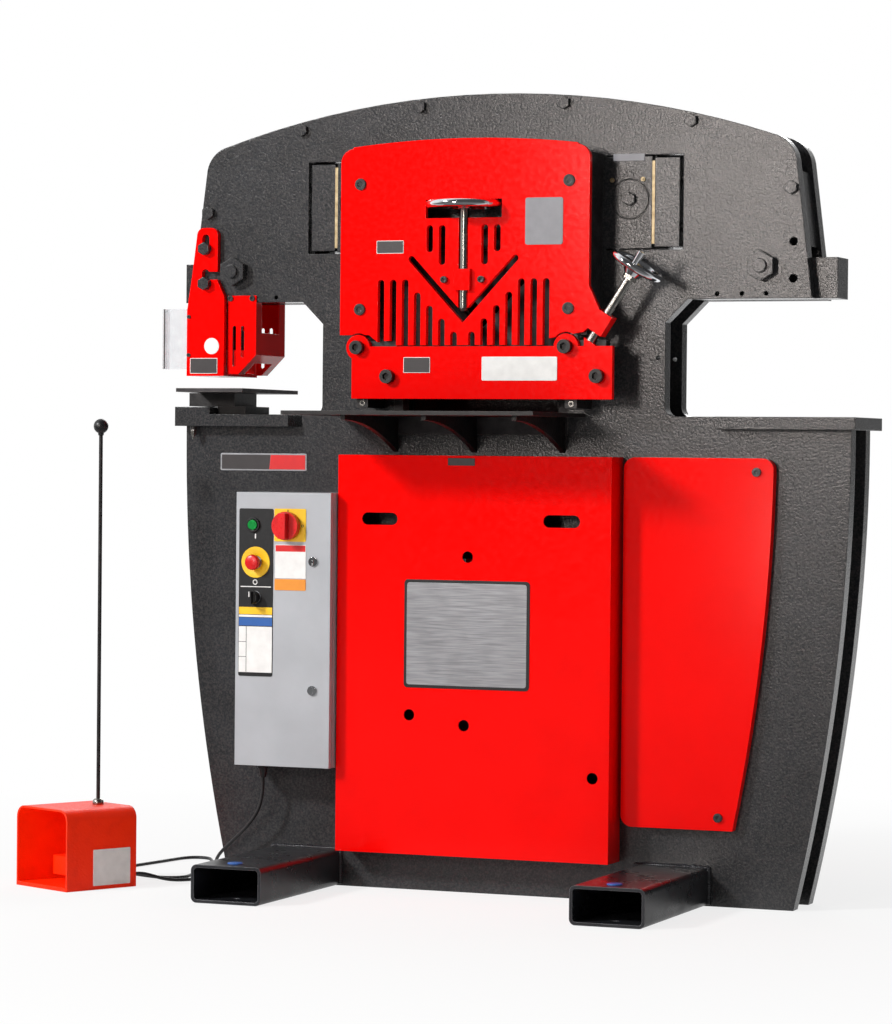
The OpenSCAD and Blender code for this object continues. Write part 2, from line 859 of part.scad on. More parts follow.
// Hex bolts with their nuts, bracket bolts on the left arm, keeper bolts, the gibs' set screws
// and the screws of the guards
module bracket_bolt(at) {
    under = face - 2 * slip - stripper_t;
    rod_y(at, under - washer_t, washer_t, washer_r);
    hex_y(at, under - washer_t - bolt_head, bolt_head, bolt_af);
    start = under - washer_t - bolt_head / 2;
    rod_y(at, start, -inner - start, bolt_d / 2);
}
module frame_bolts() {
    color("#3a3a3c") {
        guard_screws();
        for (p = frame_bolts_at) {
            hex_y(p, face - bolt_head, bolt_head, bolt_af);
            rod_y(p, face - bolt_head / 2, frame_d + bolt_head, bolt_d / 2);
            hex_y(p, -face, nut_h, bolt_af);
        }
        for (s = [0, 1]) mirror([0, s, 0]) {
            for (p = bracket_bolts_at) bracket_bolt([-p[0], p[1]]);
            both_sides() hex_y([keeper_bolt_x, keeper_bolt_z], face - bolt_head, bolt_head, bolt_af);
            both_sides() rod_y([keeper_bolt_x, keeper_bolt_z], face - bolt_head / 2,
                plate_t + bolt_head / 2, bolt_d / 2);
            both_sides() for (s = set_screw_shares)
                translate([gib_block_x + gib_block_w, face + plate_t / 2, gib_lo + s * gib_h])
                    rotate([0, 90, 0])
                        cylinder(h = gib_in + gib_w - gib_block_x - gib_block_w, r = set_screw_r);
        }
    }
}
module tie_studs() {
    out = stud_nut + stud_end;
    color("#3a3a3c") for (p = studs_at) {
        rod_y(p, face - out, frame_d + 2 * out, stud_d / 2);
        hex_y(p, face - stud_nut, stud_nut, stud_af);
        hex_y(p, -face, stud_nut, stud_af);
    }
}
module foot() {
    wall = foot_wall;
    difference() {
        upright(face - foot_l, foot_l) difference() {
            rounded([-foot_w / 2, 0], [foot_w / 2, foot_h], foot_round);
            rounded([wall - foot_w / 2, wall], [foot_w / 2 - wall, foot_h - wall], foot_round - foot_bend);
        }
        translate([0, face - foot_l + anchor_in, -over]) cylinder(h = wall + 2 * over, d = anchor_d);
        translate([0, face - foot_l + anchor_in, foot_h - wall - over])
            cylinder(h = wall + 2 * over, r = access_r);
    }
}
module feet() {
    color("#35363a") for (s = [-1, 1], m = [0, 1])
        mirror([0, m, 0]) translate([s * foot_spacing / 2, 0, 0]) foot();
}

// Gibs that guide the beam

module gib_blocks() {
    color("#4a494b") both_sides() upright(face, frame_d)
        translate([gib_block_x, gib_lo + block_gap]) square([gib_block_w, gib_h - 2 * block_gap]);
}
module gib_strips() {
    color("#c9a86a") both_sides() upright(face, frame_d)
        translate([strip_x, strip_lo]) square([strip_t, strip_hi - strip_lo]);
}
module gib_keeper() {
    difference() {
        upright(face, plate_t) difference() {
            translate([gib_in, gib_lo + keeper_gap]) square([keeper_w, gib_h - 2 * keeper_gap]);
            translate([keeper_bolt_x, keeper_bolt_z]) circle(d = bolt_d + 2 * loose);
        }
        upright(face - over, over + ring_deep) ring_2d([keeper_bolt_x, keeper_bolt_z], ring_r, ring_w);
    }
}
module gib_keepers() {
    color("#4a494b") both_sides() for (m = [0, 1]) mirror([0, m, 0]) gib_keeper();
}
module grease_nipples() {
    color("#b99a4a") both_sides() for (m = [0, 1], s = nipple_shares) mirror([0, m, 0]) {
        at = [gib_in + s[0] * keeper_w, gib_lo + s[1] * gib_h];
        rod_y(at, face - nipple_r, nipple_r, nipple_r);
        rod_y(at, face - 2 * nipple_r, nipple_r, nipple_r / 2);
    }
}

// Shear station

module shear_housing() {
    low = [guard_l + house_in, guard_lo];
    high = [guard_r - house_in, guard_hi - house_drop];
    color("#2a2a2c") upright(guard_y + guard_t, guard_out - guard_t) difference() {
        translate(low) square(high - low);
        translate([low[0] + house_wall, low[1] - over])
            square([high[0] - low[0] - 2 * house_wall, high[1] - low[1] - house_wall + over]);
    }
}
function on_push_line(s, o) = seat - push * s + push_side * o;
module guard_outline() {
    crown_r = (guard_w * guard_w / 4 + guard_crown * guard_crown) / (2 * guard_crown);
    crown_a = acos((guard_w / 2 - guard_corner) / crown_r);
    polygon(concat(
        [[guard_l, guard_lo], [guard_l + guard_step, guard_lo],
         [guard_l + guard_step + guard_slope, comb_lo], [last_slot, comb_lo],
         [last_slot, comb_lo + guard_heel_h],
         [shear_x + guard_toe, table_z + guard_toe_rise],
         on_push_line(boss_from, -boss_w / 2), on_push_line(boss_from + boss_touch, -boss_w / 2),
         [guard_r, table_z + guard_knee_rise]],
        arc([guard_r - guard_corner, guard_hi - guard_corner], guard_corner, 0, 83),
        arc([shear_x, guard_hi + guard_crown - crown_r], crown_r, crown_a, 180 - crown_a),
        arc([guard_l + guard_corner, guard_hi - guard_corner], guard_corner, 97, 180)
    ));
}
module comb_slots() {
    for (s = [-1, 1], k = [0:comb_count - 1]) {
        x = shear_x + s * (comb_first_share + k) * comb_pitch;
        top = comb_lo + comb_first_h + comb_pitch * min(k, comb_ramp) - comb_w / 2;
        translate([x, top]) circle(d = comb_w);
        translate([x - comb_w / 2, comb_lo - over]) square([comb_w, top - comb_lo + over]);
    }
    translate([shear_x - (comb_first_share + comb_count - 1) * comb_pitch - comb_w / 2, comb_lo - over])
        square([comb_pitch + comb_w, tongue_h + over]);
}
module fine_slots() {
    for (s = [-1, 1], k = [0, 1]) {
        x = shear_x + s * (fine_first + k * fine_step);
        high = window_lo - fine_gap - comb_w / 2;
        slot_2d([x, high], [x, high - fine_lengths[k] + comb_w], comb_w);
    }
}
module vee_slot() {
    half = vee_slot_w / 2;
    leg = atan2(vee_reach[1], vee_reach[0]);
    polygon(concat([[shear_x, guard_vee - half / cos(leg)]],
        arc([shear_x + vee_reach[0], guard_vee + vee_reach[1]], half, leg - 90, leg + 90),
        [[shear_x, guard_vee + half / cos(leg)]],
        arc([shear_x - vee_reach[0], guard_vee + vee_reach[1]], half, 90 - leg, 270 - leg)));
}
module upper_guard() {
    slot_half = spindle_d / 2 + spindle_room;
    color("#d8100c") upright(guard_y, guard_t) difference() {
        guard_outline();
        translate([shear_x - window_half, window_lo]) square([2 * window_half, window_tall]);
        vee_slot();
        translate([shear_x - slot_half, guard_vee + slot_half / 2])
            square([2 * slot_half, window_lo - guard_vee - slot_half / 2 + over]);
        translate([shear_x - boss_w / 2, boss_lo]) square([boss_w, boss_h]);
        comb_slots();
        fine_slots();
        for (b = [0, 2])
            slot_2d(hold_bolts_at[b], hold_bolts_at[b] + push * hold_travel, 2 * (lobe_r + lobe_gap));
    }
}
module socket_head(at, front_y, r, h, af) {
    difference() {
        rod_y(at, front_y - h, h, r);
        hex_y(at, front_y - h - over, over + h / 2, af);
    }
}
module guard_screws() {
    for (s = [-1, 1], z = screw_rises)
        socket_head([shear_x + s * screw_half, table_z + z], guard_y, screw_r, screw_h, socket_af / 2);
    for (s = [-1, 1])
        socket_head([shear_x + s * small_screw_half, table_z + small_screw_rise],
            guard_y, small_screw_r, small_screw_r, socket_af / 2);
    for (s = panel_screw_shares)
        socket_head([side_l + s[0] * (side_r - side_l), side_lo + s[1] * (cover_hi - side_lo)],
            face - panel_d, button_r, button_h, socket_af / 2);
}
module guide_block(upper, lower, foot_x) {
    front = guard_y + guard_t + slip;
    room = shoulder_d / 2 + guide_room;
    upright(front, guide_t) difference() {
        union() {
            translate([upper[0] + push[0] * hold_travel - room, lower[1] + push[1] * hold_travel - room])
                square([lower[0] - upper[0] - push[0] * hold_travel + 2 * room,
                    upper[1] - lower[1] - push[1] * hold_travel + 2 * room]);
            translate([foot_x - guide_foot_w / 2, guide_foot_lo])
                square([guide_foot_w, upper[1] - guide_foot_lo]);
        }
        for (b = [upper, lower]) slot_2d(b, b + push * hold_travel, shoulder_d + 2 * slip);
    }
    block([foot_x - guide_foot_w / 2, front + guide_t, guide_foot_lo],
        [foot_x + guide_foot_w / 2, face, upper[1]]);
}
module guide_blocks() {
    color("#3c3c3f") difference() {
        for (k = [0, 1])
            guide_block(hold_bolts_at[2 * k], hold_bolts_at[2 * k + 1],
                shear_x + guide_foot_shares[k] * guard_w);
        on_push(-hold_travel - over)
            cylinder(h = spindle_len + hold_travel + over, r = spindle_d / 2 + spindle_room);
    }
}
module hold_down_plate() {
    color("#d8100c") upright(guard_y, guard_t) difference() {
        union() {
            polygon([[hold_l, hold_lo], [hold_r, hold_lo], [hold_r, hold_hi],
                [on_push_line(0, seat_half)[0], hold_hi], on_push_line(0, seat_half),
                on_push_line(0, -seat_half), [on_push_line(0, -seat_half)[0], hold_hi], [hold_l, hold_hi]]);
            for (b = [0, 2]) translate(hold_bolts_at[b]) circle(r = lobe_r);
        }
        for (p = hold_bolts_at) translate(p) circle(d = shoulder_d + slip);
    }
}
module shoulder_bolts() {
    color("#2f2f31") for (p = hold_bolts_at) {
        socket_head(p, guard_y, cap_r, cap_h, socket_af);
        rod_y(p, guard_y, guard_t + guide_t, shoulder_d / 2);
    }
}
module spindle_bosses() {
    bore = spindle_d / 2 + slip;
    color("#d8100c") {
        difference() {
            block([shear_x - boss_w / 2, guard_mid - boss_d / 2, boss_lo],
                [shear_x + boss_w / 2, guard_mid + boss_d / 2, boss_lo + boss_h]);
            translate([shear_x, guard_mid, boss_lo - over]) cylinder(h = boss_h + 2 * over, r = bore);
        }
        on_push(boss_from) difference() {
            translate([-boss_w / 2, -boss_d / 2, 0]) cube([boss_w, boss_d, boss_len]);
            translate([0, 0, -over]) cylinder(h = boss_len + 2 * over, r = bore);
        }
    }
}
module angle_tip() {
    color("#8d8d90") translate([shear_x, guard_mid, table_z + tip_rise])
        cylinder(h = tip_h, r1 = tip_r, r2 = spindle_d / 2);
}
module angle_spindle() {
    low = table_z + tip_rise + tip_h + slip;
    color("#b9b6ae") translate([shear_x, guard_mid, low])
        cylinder(h = wheel_z - hub_up - low, d = spindle_d);
}
module angle_handwheel() {
    color("#d5d5d8") translate([shear_x, guard_mid, wheel_z]) rotate_extrude() {
        translate([wheel_d / 2 - rim_r, 0]) circle(r = rim_r);
        translate([0, -web_t / 2]) square([wheel_d / 2 - rim_r, web_t]);
        translate([0, -hub_up]) square([hub_r, hub_h]);
    }
}
module flat_spindle() {
    color("#b9b6ae") {
        on_push(slip) cylinder(h = spindle_len - slip, d = spindle_d);
        on_push(spindle_len - pitch_nut_h)
            cylinder(h = pitch_nut_h, r = pitch_nut_af / (2 * cos(30)), $fn = 6);
    }
}
module flat_handwheel() {
    rim = small_wheel_d / 2 - small_rim_r;
    color("#d5d5d8") on_push(spindle_len + slip) {
        rotate_extrude() {
            translate([rim, small_dish]) circle(r = small_rim_r);
            polygon([[0, 0], [small_hub_r, 0], [small_hub_r + web_t, small_hub_h],
                [rim, small_dish - web_t / 2], [rim, small_dish + web_t / 2],
                [small_hub_r, small_hub_h + web_t], [0, small_hub_h + web_t]]);
        }
        rotate([0, 0, peg_turn]) translate([rim, 0, small_dish])
            cylinder(h = peg_h, r1 = peg_r, r2 = peg_r * peg_flare_share);
    }
}
module gusset_2d() {
    run = table_d - gusset_in;
    curve = [for (i = [0:arc_steps]) let (t = i / arc_steps)
        [face - run * (1 - t), -gusset_nose - (gusset_h - gusset_nose) * t * t]];
    polygon(concat([[face, 0], [face - run, 0]], curve));
}
module shear_table() {
    color("#3a3a3c") {
        block([table_x, face - table_d, table_top - table_t], [table_x + table_w, face, table_top]);
        for (s = gusset_shares) translate([table_x + s * table_w - gusset_t / 2, 0, table_top - table_t])
            rotate([90, 0, 90]) linear_extrude(gusset_t) gusset_2d();
    }
}
module lower_flat(grow) {
    block([shear_x - bar_slot_w / 2, -inner - blade_t, table_top - blade_h],
        [shear_x + bar_slot_w / 2, -inner + grow, table_top + grow]);
}
module lower_vee(grow) {
    upright(-inner - blade_t, blade_t + grow) vee(vee_low - vee_blade, vee_blade + grow, vee_leg);
}
module blade_block() {
    color("#39393b") difference() {
        upright(face, plate_t) difference() {
            translate([shear_x - shear_half, shear_lo]) square([2 * shear_half, shear_hi - shear_lo]);
            translate([shear_x - bar_slot_w / 2, table_top]) square([bar_slot_w, bar_slot_h]);
            vee(vee_low, vee_slot, vee_leg);
        }
        lower_flat(over);
        lower_vee(over);
    }
}
module lower_blades() {
    color("#7d7d80") {
        lower_flat(0);
        lower_vee(0);
    }
}
module upper_flat(grow) {
    half = bar_slot_w / 2 - blade_side;
    block([shear_x - half, beam_gap - inner - grow, bar_slot_hi - grow],
        [shear_x + half, beam_gap - inner + blade_t, bar_slot_hi + upper_blade_h]);
}
module upper_vee(grow) {
    upright(beam_gap - inner - grow, blade_t + grow) vee(vee_high + over - grow, vee_blade + grow, vee_leg);
}
module upper_blades() {
    color("#7d7d80") {
        upper_flat(0);
        upper_vee(0);
    }
}
// A sheet hood over the back of the shears, open below where the cut pieces drop
module rear_hood() {
    half = shear_half + hood_lap;
    color("#39393b") difference() {
        block([shear_x - half, -face, shear_lo], [shear_x + half, hood_d - face, shear_hi + hood_lap]);
        block([shear_x - half + sheet, -face - over, shear_lo - over],
            [shear_x + half - sheet, hood_d - face - sheet, shear_hi + hood_lap - sheet]);
    }
}

// Moving beam and its drive

module beam_outline() {
    half = gib_in + keeper_w - slip;
    low = arm_z + end_rise;
    high = low + beam_end_h;
    top = high + hump_h;
    in = gib_in + gib_w + hump_gap;
    out = hump_out_share * arm_reach;
    right = [[half, beam_lo], [half, low], [beam_right, low], [beam_right, high], [out, high],
        [out, top - hump_h / 2], [(in + out) / 2, top], [in, top], [in, high], [half, high], [half, beam_hi]];
    left = [for (i = [len(right) - 1:-1:0]) [i == 2 || i == 3 ? -beam_left : -right[i][0], right[i][1]]];
    polygon(concat(right, left));
}
module beam() {
    color("#333335") difference() {
        upright(beam_gap - inner, plate_gap - 2 * beam_gap) difference() {
            beam_outline();
            for (p = studs_at) slot_2d(p, p + [0, stroke], stud_d + 2 * slot_room);
            vee(vee_high + over - vee_pass, vee_pass, vee_leg);
        }
        upper_flat(over);
        upper_vee(over);
        for (s = [-1, 1]) translate([cyl_x + s * pull_half, 0, beam_lo - over])
            cylinder(h = pull_in + over, r = pull_r + slip / 3);
    }
}
module pull_yoke() {
    color("#6b6b6e") {
        block([cyl_x - head_half, over - inner, head_lo],
            [cyl_x + head_half, inner - over, head_lo + head_h]);
        for (s = [-1, 1]) translate([cyl_x + s * pull_half, 0, head_lo + head_h])
            cylinder(h = beam_lo + pull_in - head_lo - head_h, r = pull_r);
    }
}
module main_cylinder() {
    top = cyl_lo + cyl_h;
    half = cyl_half - over;
    color("#5a5c60") difference() {
        union() {
            block([cyl_x - half, -half, cyl_lo], [cyl_x + half, half, cyl_lo + cyl_flange]);
            translate([cyl_x, 0, cyl_lo]) cylinder(h = cyl_h, r = cyl_r);
            for (z = ports_z) rod_y([cyl_x, z], cyl_bore + port_out, cyl_r - cyl_bore, port_r);
        }
        translate([cyl_x, 0, cyl_lo + cyl_flange]) cylinder(h = cyl_h - 2 * cyl_flange, r = cyl_bore);
        translate([cyl_x, 0, top - cyl_flange - over]) cylinder(h = cyl_flange + 2 * over, r = rod_r + slip);
    }
}
module piston_rod() {
    low = cyl_lo + piston_rise;
    color("#b9b9bc") translate([cyl_x, 0, low]) {
        cylinder(h = piston_h, r = cyl_bore - piston_gap);
        cylinder(h = head_lo - low, r = rod_r);
    }
}
tank_low = [cover_left + tank_side, tank_y, tank_lo];
tank_high = [cover_left + cover_w - tank_side, tank_y + tank_d, tank_lo + tank_h];
motor_y = tank_y + tank_d / 2;
module oil_tank() {
    wall = [tank_wall, tank_wall, tank_wall];
    color("#3d4f63") difference() {
        union() {
            block(tank_low, tank_high);
            for (x = [tank_low[0], tank_high[0] - ear_w])
                block([x, -face, tank_lo], [x + ear_w, tank_y, tank_lo + tank_h]);
        }
        block(tank_low + wall, tank_high - wall);
        translate([motor_x, motor_y, tank_high[2] - tank_wall - over])
            cylinder(h = tank_wall + 2 * over, r = pump_r + tank_wall);
    }
}
// The motor with its pump, and the valve block beside it
module motor_and_valve() {
    color("#77777a") translate([valve_x - valve[0] / 2, motor_y - valve[1] / 2 - valve_in, tank_high[2]])
        cube(valve);
    color("#5f6266") translate([motor_x, motor_y, tank_high[2]]) {
        cylinder(h = cowl_h / 2, r = motor_r);
        cylinder(h = motor_h, r = motor_r - motor_fin);
        for (k = [0:fin_count - 1]) rotate(360 * k / fin_count)
            translate([0, -motor_fin / 4, 0]) cube([motor_r - motor_fin / 3, motor_fin / 2, motor_h]);
        translate([0, 0, motor_h]) cylinder(h = cowl_h, r = motor_r);
        translate([0, 0, -cowl_h]) cylinder(h = cowl_h, r = shaft_r);
        translate([0, 0, -cowl_h - pump_h]) cylinder(h = pump_h, r = pump_r);
    }
}
module hoses() {
    color("#1c1c1e") for (r = hose_routes) tube(smooth(r), hose_r, cord_sides + 2);
}

// Punch station

module punch_holder() {
    top = arm_z + end_rise;
    color("#58585b") translate([punch_x, 0, 0]) {
        translate([0, 0, top - holder_h]) cylinder(h = holder_h, r = holder_r);
        translate([0, 0, top - holder_h - collar_h]) cylinder(h = collar_h, r = collar_r);
    }
}
module punch() {
    top = arm_z + end_rise - holder_h - collar_h;
    color("#9a9a9d") translate([punch_x, 0, punch_tip]) cylinder(h = top - punch_tip, d = punch_d);
}
die_base_z = table_z + die_base[2];
die_block_z = die_base_z + die_block[2];
module die() {
    low = die_block_z - die_seat;
    color("#9a9a9d") translate([punch_x, 0, low]) difference() {
        cylinder(h = die_seat + die_plate[2] + die_top, d = die_d);
        translate([0, 0, -over]) cylinder(h = die_seat + die_plate[2] + die_top + 2 * over, r = die_hole);
    }
}
module die_holder() {
    color("#2e2e30") difference() {
        union() {
            translate([die_base_x, -die_base[1] / 2, table_z]) cube(die_base);
            translate([die_block_x, -die_block[1] / 2, die_base_z]) cube(die_block);
        }
        translate([punch_x, 0, die_block_z - die_seat])
            cylinder(h = die_seat + over, d = die_d + 2 * die_gap);
        translate([punch_x, 0, table_z - over]) cylinder(h = die_block_z - table_z, r = slug_r);
    }
}
module die_plate() {
    color("#48474a") difference() {
        translate([die_plate_x, die_plate_y, die_block_z]) cube(die_plate);
        translate([punch_x, 0, die_block_z - over])
            cylinder(h = die_plate[2] + 2 * over, d = die_d + 2 * die_top);
    }
}
module left_bolster() {
    out = bolster_out - face;
    color("#3f3e40") difference() {
        union() {
            block([-bolster_left_end, -out, shelf_z], [-bolster_in_left, out, table_z]);
            block([-bolster_left_end, -out, table_z], [lip_w - bolster_left_end, out, table_z + lip_h]);
        }
        translate([punch_x, 0, shelf_z - over])
            cylinder(h = bolster_t + lip_h + 2 * over, r = slug_r + slug_room);
    }
}
module right_bolster() {
    out = bolster_out - face;
    color("#3f3e40") block([bolster_in_right, -out, shelf_z], [bolster_right_end, out, table_z]);
}
module bracket_2d() {
    difference() {
        polygon(concat([[-strip_l, strip_bottom], [-strip_r, strip_bottom], [-strip_r, arm_z + strip_knee],
            [-strip_top_r, arm_z + strip_elbow]],
            arc([-strip_top_r - strip_corner, strip_top - strip_corner], strip_corner, 0, 90),
            arc([strip_corner - strip_top_l, strip_top - strip_corner], strip_corner, 90, 180),
            [[strip_hip_in - strip_l, arm_z + strip_hip], [-strip_l, arm_z - strip_flare]]));
        for (p = bracket_bolts_at)
            slot_2d([-p[0], p[1]], [-p[0], p[1] + stripper_travel], strip_slot_w);
        hook = bracket_bolts_at[1] + [0, hook_share * stripper_travel];
        slot_2d([-hook[0], hook[1]], [-strip_r, hook[1]], strip_slot_w);
    }
}
module stripper() {
    out = slip + stripper_t - face;
    color("#d8100c") difference() {
        union() {
            for (m = [0, 1]) mirror([0, m, 0]) upright(-out, stripper_t) bracket_2d();
            block([-strip_l, -out, strip_bottom], [-strip_r, out, strip_bottom + strip_base_t]);
        }
        translate([punch_x, 0, strip_bottom - over]) cylinder(h = strip_base_t + 2 * over, r = strip_hole_r);
    }
}
module punch_flange_2d() {
    difference() {
        polygon([[-pg_l, pg_lo], [-pg_r - pg_cham, pg_lo], [-pg_r, pg_lo + pg_cham],
            [-pg_r, pg_hi], [-pg_l, pg_hi]]);
        for (s = pg_slots) slot_2d([s[0] - pg_l, pg_lo + s[1]], [s[0] - pg_l, pg_lo + s[2]], pg_slot_w);
    }
}
module punch_guard() {
    out = guard_sheet - face;
    color("#d8100c") difference() {
        union() {
            for (m = [0, 1]) mirror([0, m, 0]) upright(-out, guard_sheet) punch_flange_2d();
            upright(-out, 2 * out) polygon([[-pg_r, pg_top], [-pg_r - guard_sheet, pg_top],
                [-pg_r - guard_sheet, pg_lo + pg_cham + guard_sheet], [-pg_r - pg_cham - guard_sheet, pg_lo],
                [-pg_r - pg_cham, pg_lo], [-pg_r, pg_lo + pg_cham]]);
        }
        block([-pg_r - pg_cham, -pg_notch_half, arm_z - pg_notch_h], [over - pg_r, pg_notch_half, pg_hi]);
        block([-pg_r - pg_cham - 2 * guard_sheet, -pg_notch_half, pg_lo - over],
            [-pg_r - pg_cham / 3, pg_notch_half, pg_lo + pg_cham * pg_gap_share]);
    }
}
module clear_shield() {
    front = face - slip;
    color("#dfe6ee", 0.4) {
        block([-shield_l, front, shield_lo], [-shield_r, front + shield_t, shield_hi]);
        block([-shield_l, front + shield_t, shield_lo], [shield_t - shield_l, front + shield_lip, shield_hi]);
    }
}

// Covers

cover_low = [cover_left, face - cover_d, cover_lo];
cover_high = [cover_left + cover_w, face, cover_hi];
module front_cover() {
    skin = [sheet, sheet, sheet];
    color("#e0120d") difference() {
        block(cover_low, cover_high);
        block(cover_low + skin, cover_high + [-sheet, over, -sheet]);
        for (s = slot_shares) upright(cover_low[1] - over, sheet + 2 * over) {
            mid = [cover_left + s * cover_w, cover_lo + slot_rise_share * (cover_hi - cover_lo)];
            slot_2d(mid - [(slot_w - slot_h) / 2, 0], mid + [(slot_w - slot_h) / 2, 0], slot_h);
        }
        for (s = hole_shares)
            rod_y([cover_left + s[0] * cover_w, cover_lo + s[1] * (cover_hi - cover_lo)],
                cover_low[1] - over, sheet + 2 * over, hole_d / 2);
    }
}
module side_2d(skin) {
    intersection() {
        rounded([side_l + skin, side_lo + skin], [side_r - skin, cover_hi - skin], side_corner - skin);
        translate([waist_right - right_r, waist_z])
            circle(r = right_r - waist_right + side_r - skin, $fn = 720);
    }
}
module side_panel() {
    color("#e0120d") difference() {
        upright(face - panel_d, panel_d) side_2d(0);
        upright(face - panel_d + sheet, panel_d) side_2d(sheet);
    }
}
module rear_cover() {
    mid = cover_left + cover_w / 2;
    color("#c4100c") difference() {
        block([cover_left, -face, cover_lo], [cover_left + cover_w, rear_d - face, cover_hi]);
        block([cover_left + sheet, -face - over, cover_lo - over],
            [cover_left + cover_w - sheet, rear_d - face - sheet, cover_hi - sheet]);
        for (k = [0:louvre_count - 1]) upright(rear_d - face - sheet - over, sheet + 2 * over) {
            z = cover_lo + louvre_share * (cover_hi - cover_lo) + k * louvre_pitch;
            slot_2d([mid - louvre_w / 2, z], [mid + louvre_w / 2, z], louvre_h);
        }
    }
}

// Control cabinet

module cabinet() {
    skin = [sheet, sheet, sheet];
    color("#b6b8bb") {
        difference() {
            block([cab_l, box_y, cab_lo], [cab_r, face, cab_lo + cab_h]);
            block([cab_l + sheet, box_y - over, cab_lo + sheet],
                [cab_r - sheet, face - sheet, cab_lo + cab_h - sheet]);
        }
        for (s = hinge_shares) {
            z = cab_lo + s * cab_h;
            block([cab_l + sheet + slip, hinge_at[1] - hinge_r, z],
                [hinge_at[0] + hinge_r, box_y, z + hinge_lug_h]);
            block([cab_l + sheet, box_y, z], [hinge_at[0] + hinge_r, box_y + hinge_eye_r, z + hinge_lug_h]);
            translate([hinge_at[0], hinge_at[1], z + hinge_lug_h]) cylinder(h = hinge_eye_h, r = hinge_r);
        }
    }
}
module cabinet_door() {
    color("#bcbec1") difference() {
        union() {
            difference() {
                block([cab_l, cab_y, cab_lo], [cab_r, cab_y + door_d, cab_lo + cab_h]);
                block([cab_l + sheet, cab_y + sheet, cab_lo + sheet],
                    [cab_r - sheet, cab_y + door_d + over, cab_lo + cab_h - sheet]);
            }
            for (s = hinge_shares)
                translate([hinge_at[0], hinge_at[1], cab_lo + s * cab_h + hinge_lug_h + slip])
                    cylinder(h = hinge_eye_h - slip, r = hinge_eye_r);
        }
        for (s = hinge_shares) {
            z = cab_lo + s * cab_h;
            translate([hinge_at[0], hinge_at[1], z]) cylinder(h = 2 * hinge_eye_h, r = hinge_r + hinge_fit);
            block([cab_l - over, hinge_at[1] - hinge_eye_r, z - over],
                [cab_l + sheet + over, cab_y + door_d + over, z + hinge_lug_h + slip]);
        }
        for (p = [start_at, estop_at, selector_at, disconnect_at])
            rod_y(p, cab_y - over, sheet + 2 * over, stem_r + slip);
        for (p = latches_at) rod_y(p, cab_y - over, sheet + 2 * over, latch_stem + slip);
    }
}
module stem(at, out) {
    rod_y(at, cab_y - out, out + sheet + stem_in, stem_r);
}
module start_button() {
    color("#15803c") stem(start_at, start_h);
}
module estop_button() {
    color("#d01010") {
        stem(estop_at, estop_out);
        rod_y(estop_at, cab_y - estop_out - estop_h, estop_h, estop_r);
    }
}
module selector_knob() {
    color("#1d1d1f") {
        stem(selector_at, bezel);
        rod_y(selector_at, cab_y - bezel - selector_h, selector_h, selector_r);
        block([selector_at[0] - grip_w / 2, cab_y - bezel - selector_h - grip_h, selector_at[1] - selector_r],
            [selector_at[0] + grip_w / 2, cab_y - bezel - selector_h, selector_at[1] + selector_r]);
    }
}
module disconnect_handle() {
    front = cab_y - slip - disconnect_out - disconnect_h;
    color("#d01010") {
        stem(disconnect_at, slip + disconnect_out);
        rod_y(disconnect_at, front, disconnect_h, disconnect_r);
        block([disconnect_at[0] - disconnect_grip[0] / 2, front - disconnect_grip[2],
                disconnect_at[1] - disconnect_grip[1] / 2],
            [disconnect_at[0] + disconnect_grip[0] / 2, front, disconnect_at[1] + disconnect_grip[1] / 2]);
    }
}
module latch(at) {
    color("#c8c8cb") difference() {
        union() {
            rod_y(at, cab_y - slip - latch_h, latch_h, latch_r);
            rod_y(at, cab_y - slip, slip + cam_in, latch_stem);
            block([at[0] - cam[0] / 2, cab_y + cam_in, at[1] - cam[1] / 2],
                [at[0] + cam[0] / 2, cab_y + cam_in + cam[2], at[1] + cam[1] / 2]);
        }
        block([at[0] - slit[0] / 2, cab_y - slip - latch_h - over, at[1] - slit[1] / 2],
            [at[0] + slit[0] / 2, cab_y - slip - latch_h + slit[2], at[1] + slit[1] / 2]);
    }
}
module upper_latch() {
    latch(latches_at[0]);
}
module lower_latch() {
    latch(latches_at[1]);
}

// Foot switch and its cord

module cable_glands() {
    color("#222224") {
        translate([route[0][0], route[0][1], cab_lo - gland_h]) cylinder(h = gland_h, r = gland_r, $fn = 6);
        translate([route[0][0], route[0][1], cab_lo - gland_h - gland_tip])
            cylinder(h = gland_tip, r1 = gland_tip_r, r2 = gland_neck_r);
        pedal_frame() translate([inlet_x, pedal_d / 2, inlet_z]) rotate([-90, 0, 0])
            cylinder(h = inlet_l, r1 = gland_neck_r, r2 = gland_tip_r);
    }
}
module pedal_profile(skin) {
    half = pedal_w / 2 - skin;
    r = pedal_round - skin;
    low = skin > 0 ? -over : 0;
    translate([-half, low]) square([2 * half, pedal_h - pedal_round - low]);
    translate([-half + r, 0]) square([2 * (half - r), pedal_h - skin]);
    for (s = [-1, 1]) translate([s * (half - r), pedal_h - pedal_round]) circle(r = r);
}
module pedal_guard() {
    color("#e8330c") pedal_frame() difference() {
        upright(-pedal_d / 2, pedal_d) pedal_profile(0);
        upright(-pedal_d / 2 - over, pedal_d + over - pedal_wall) pedal_profile(pedal_wall);
    }
}
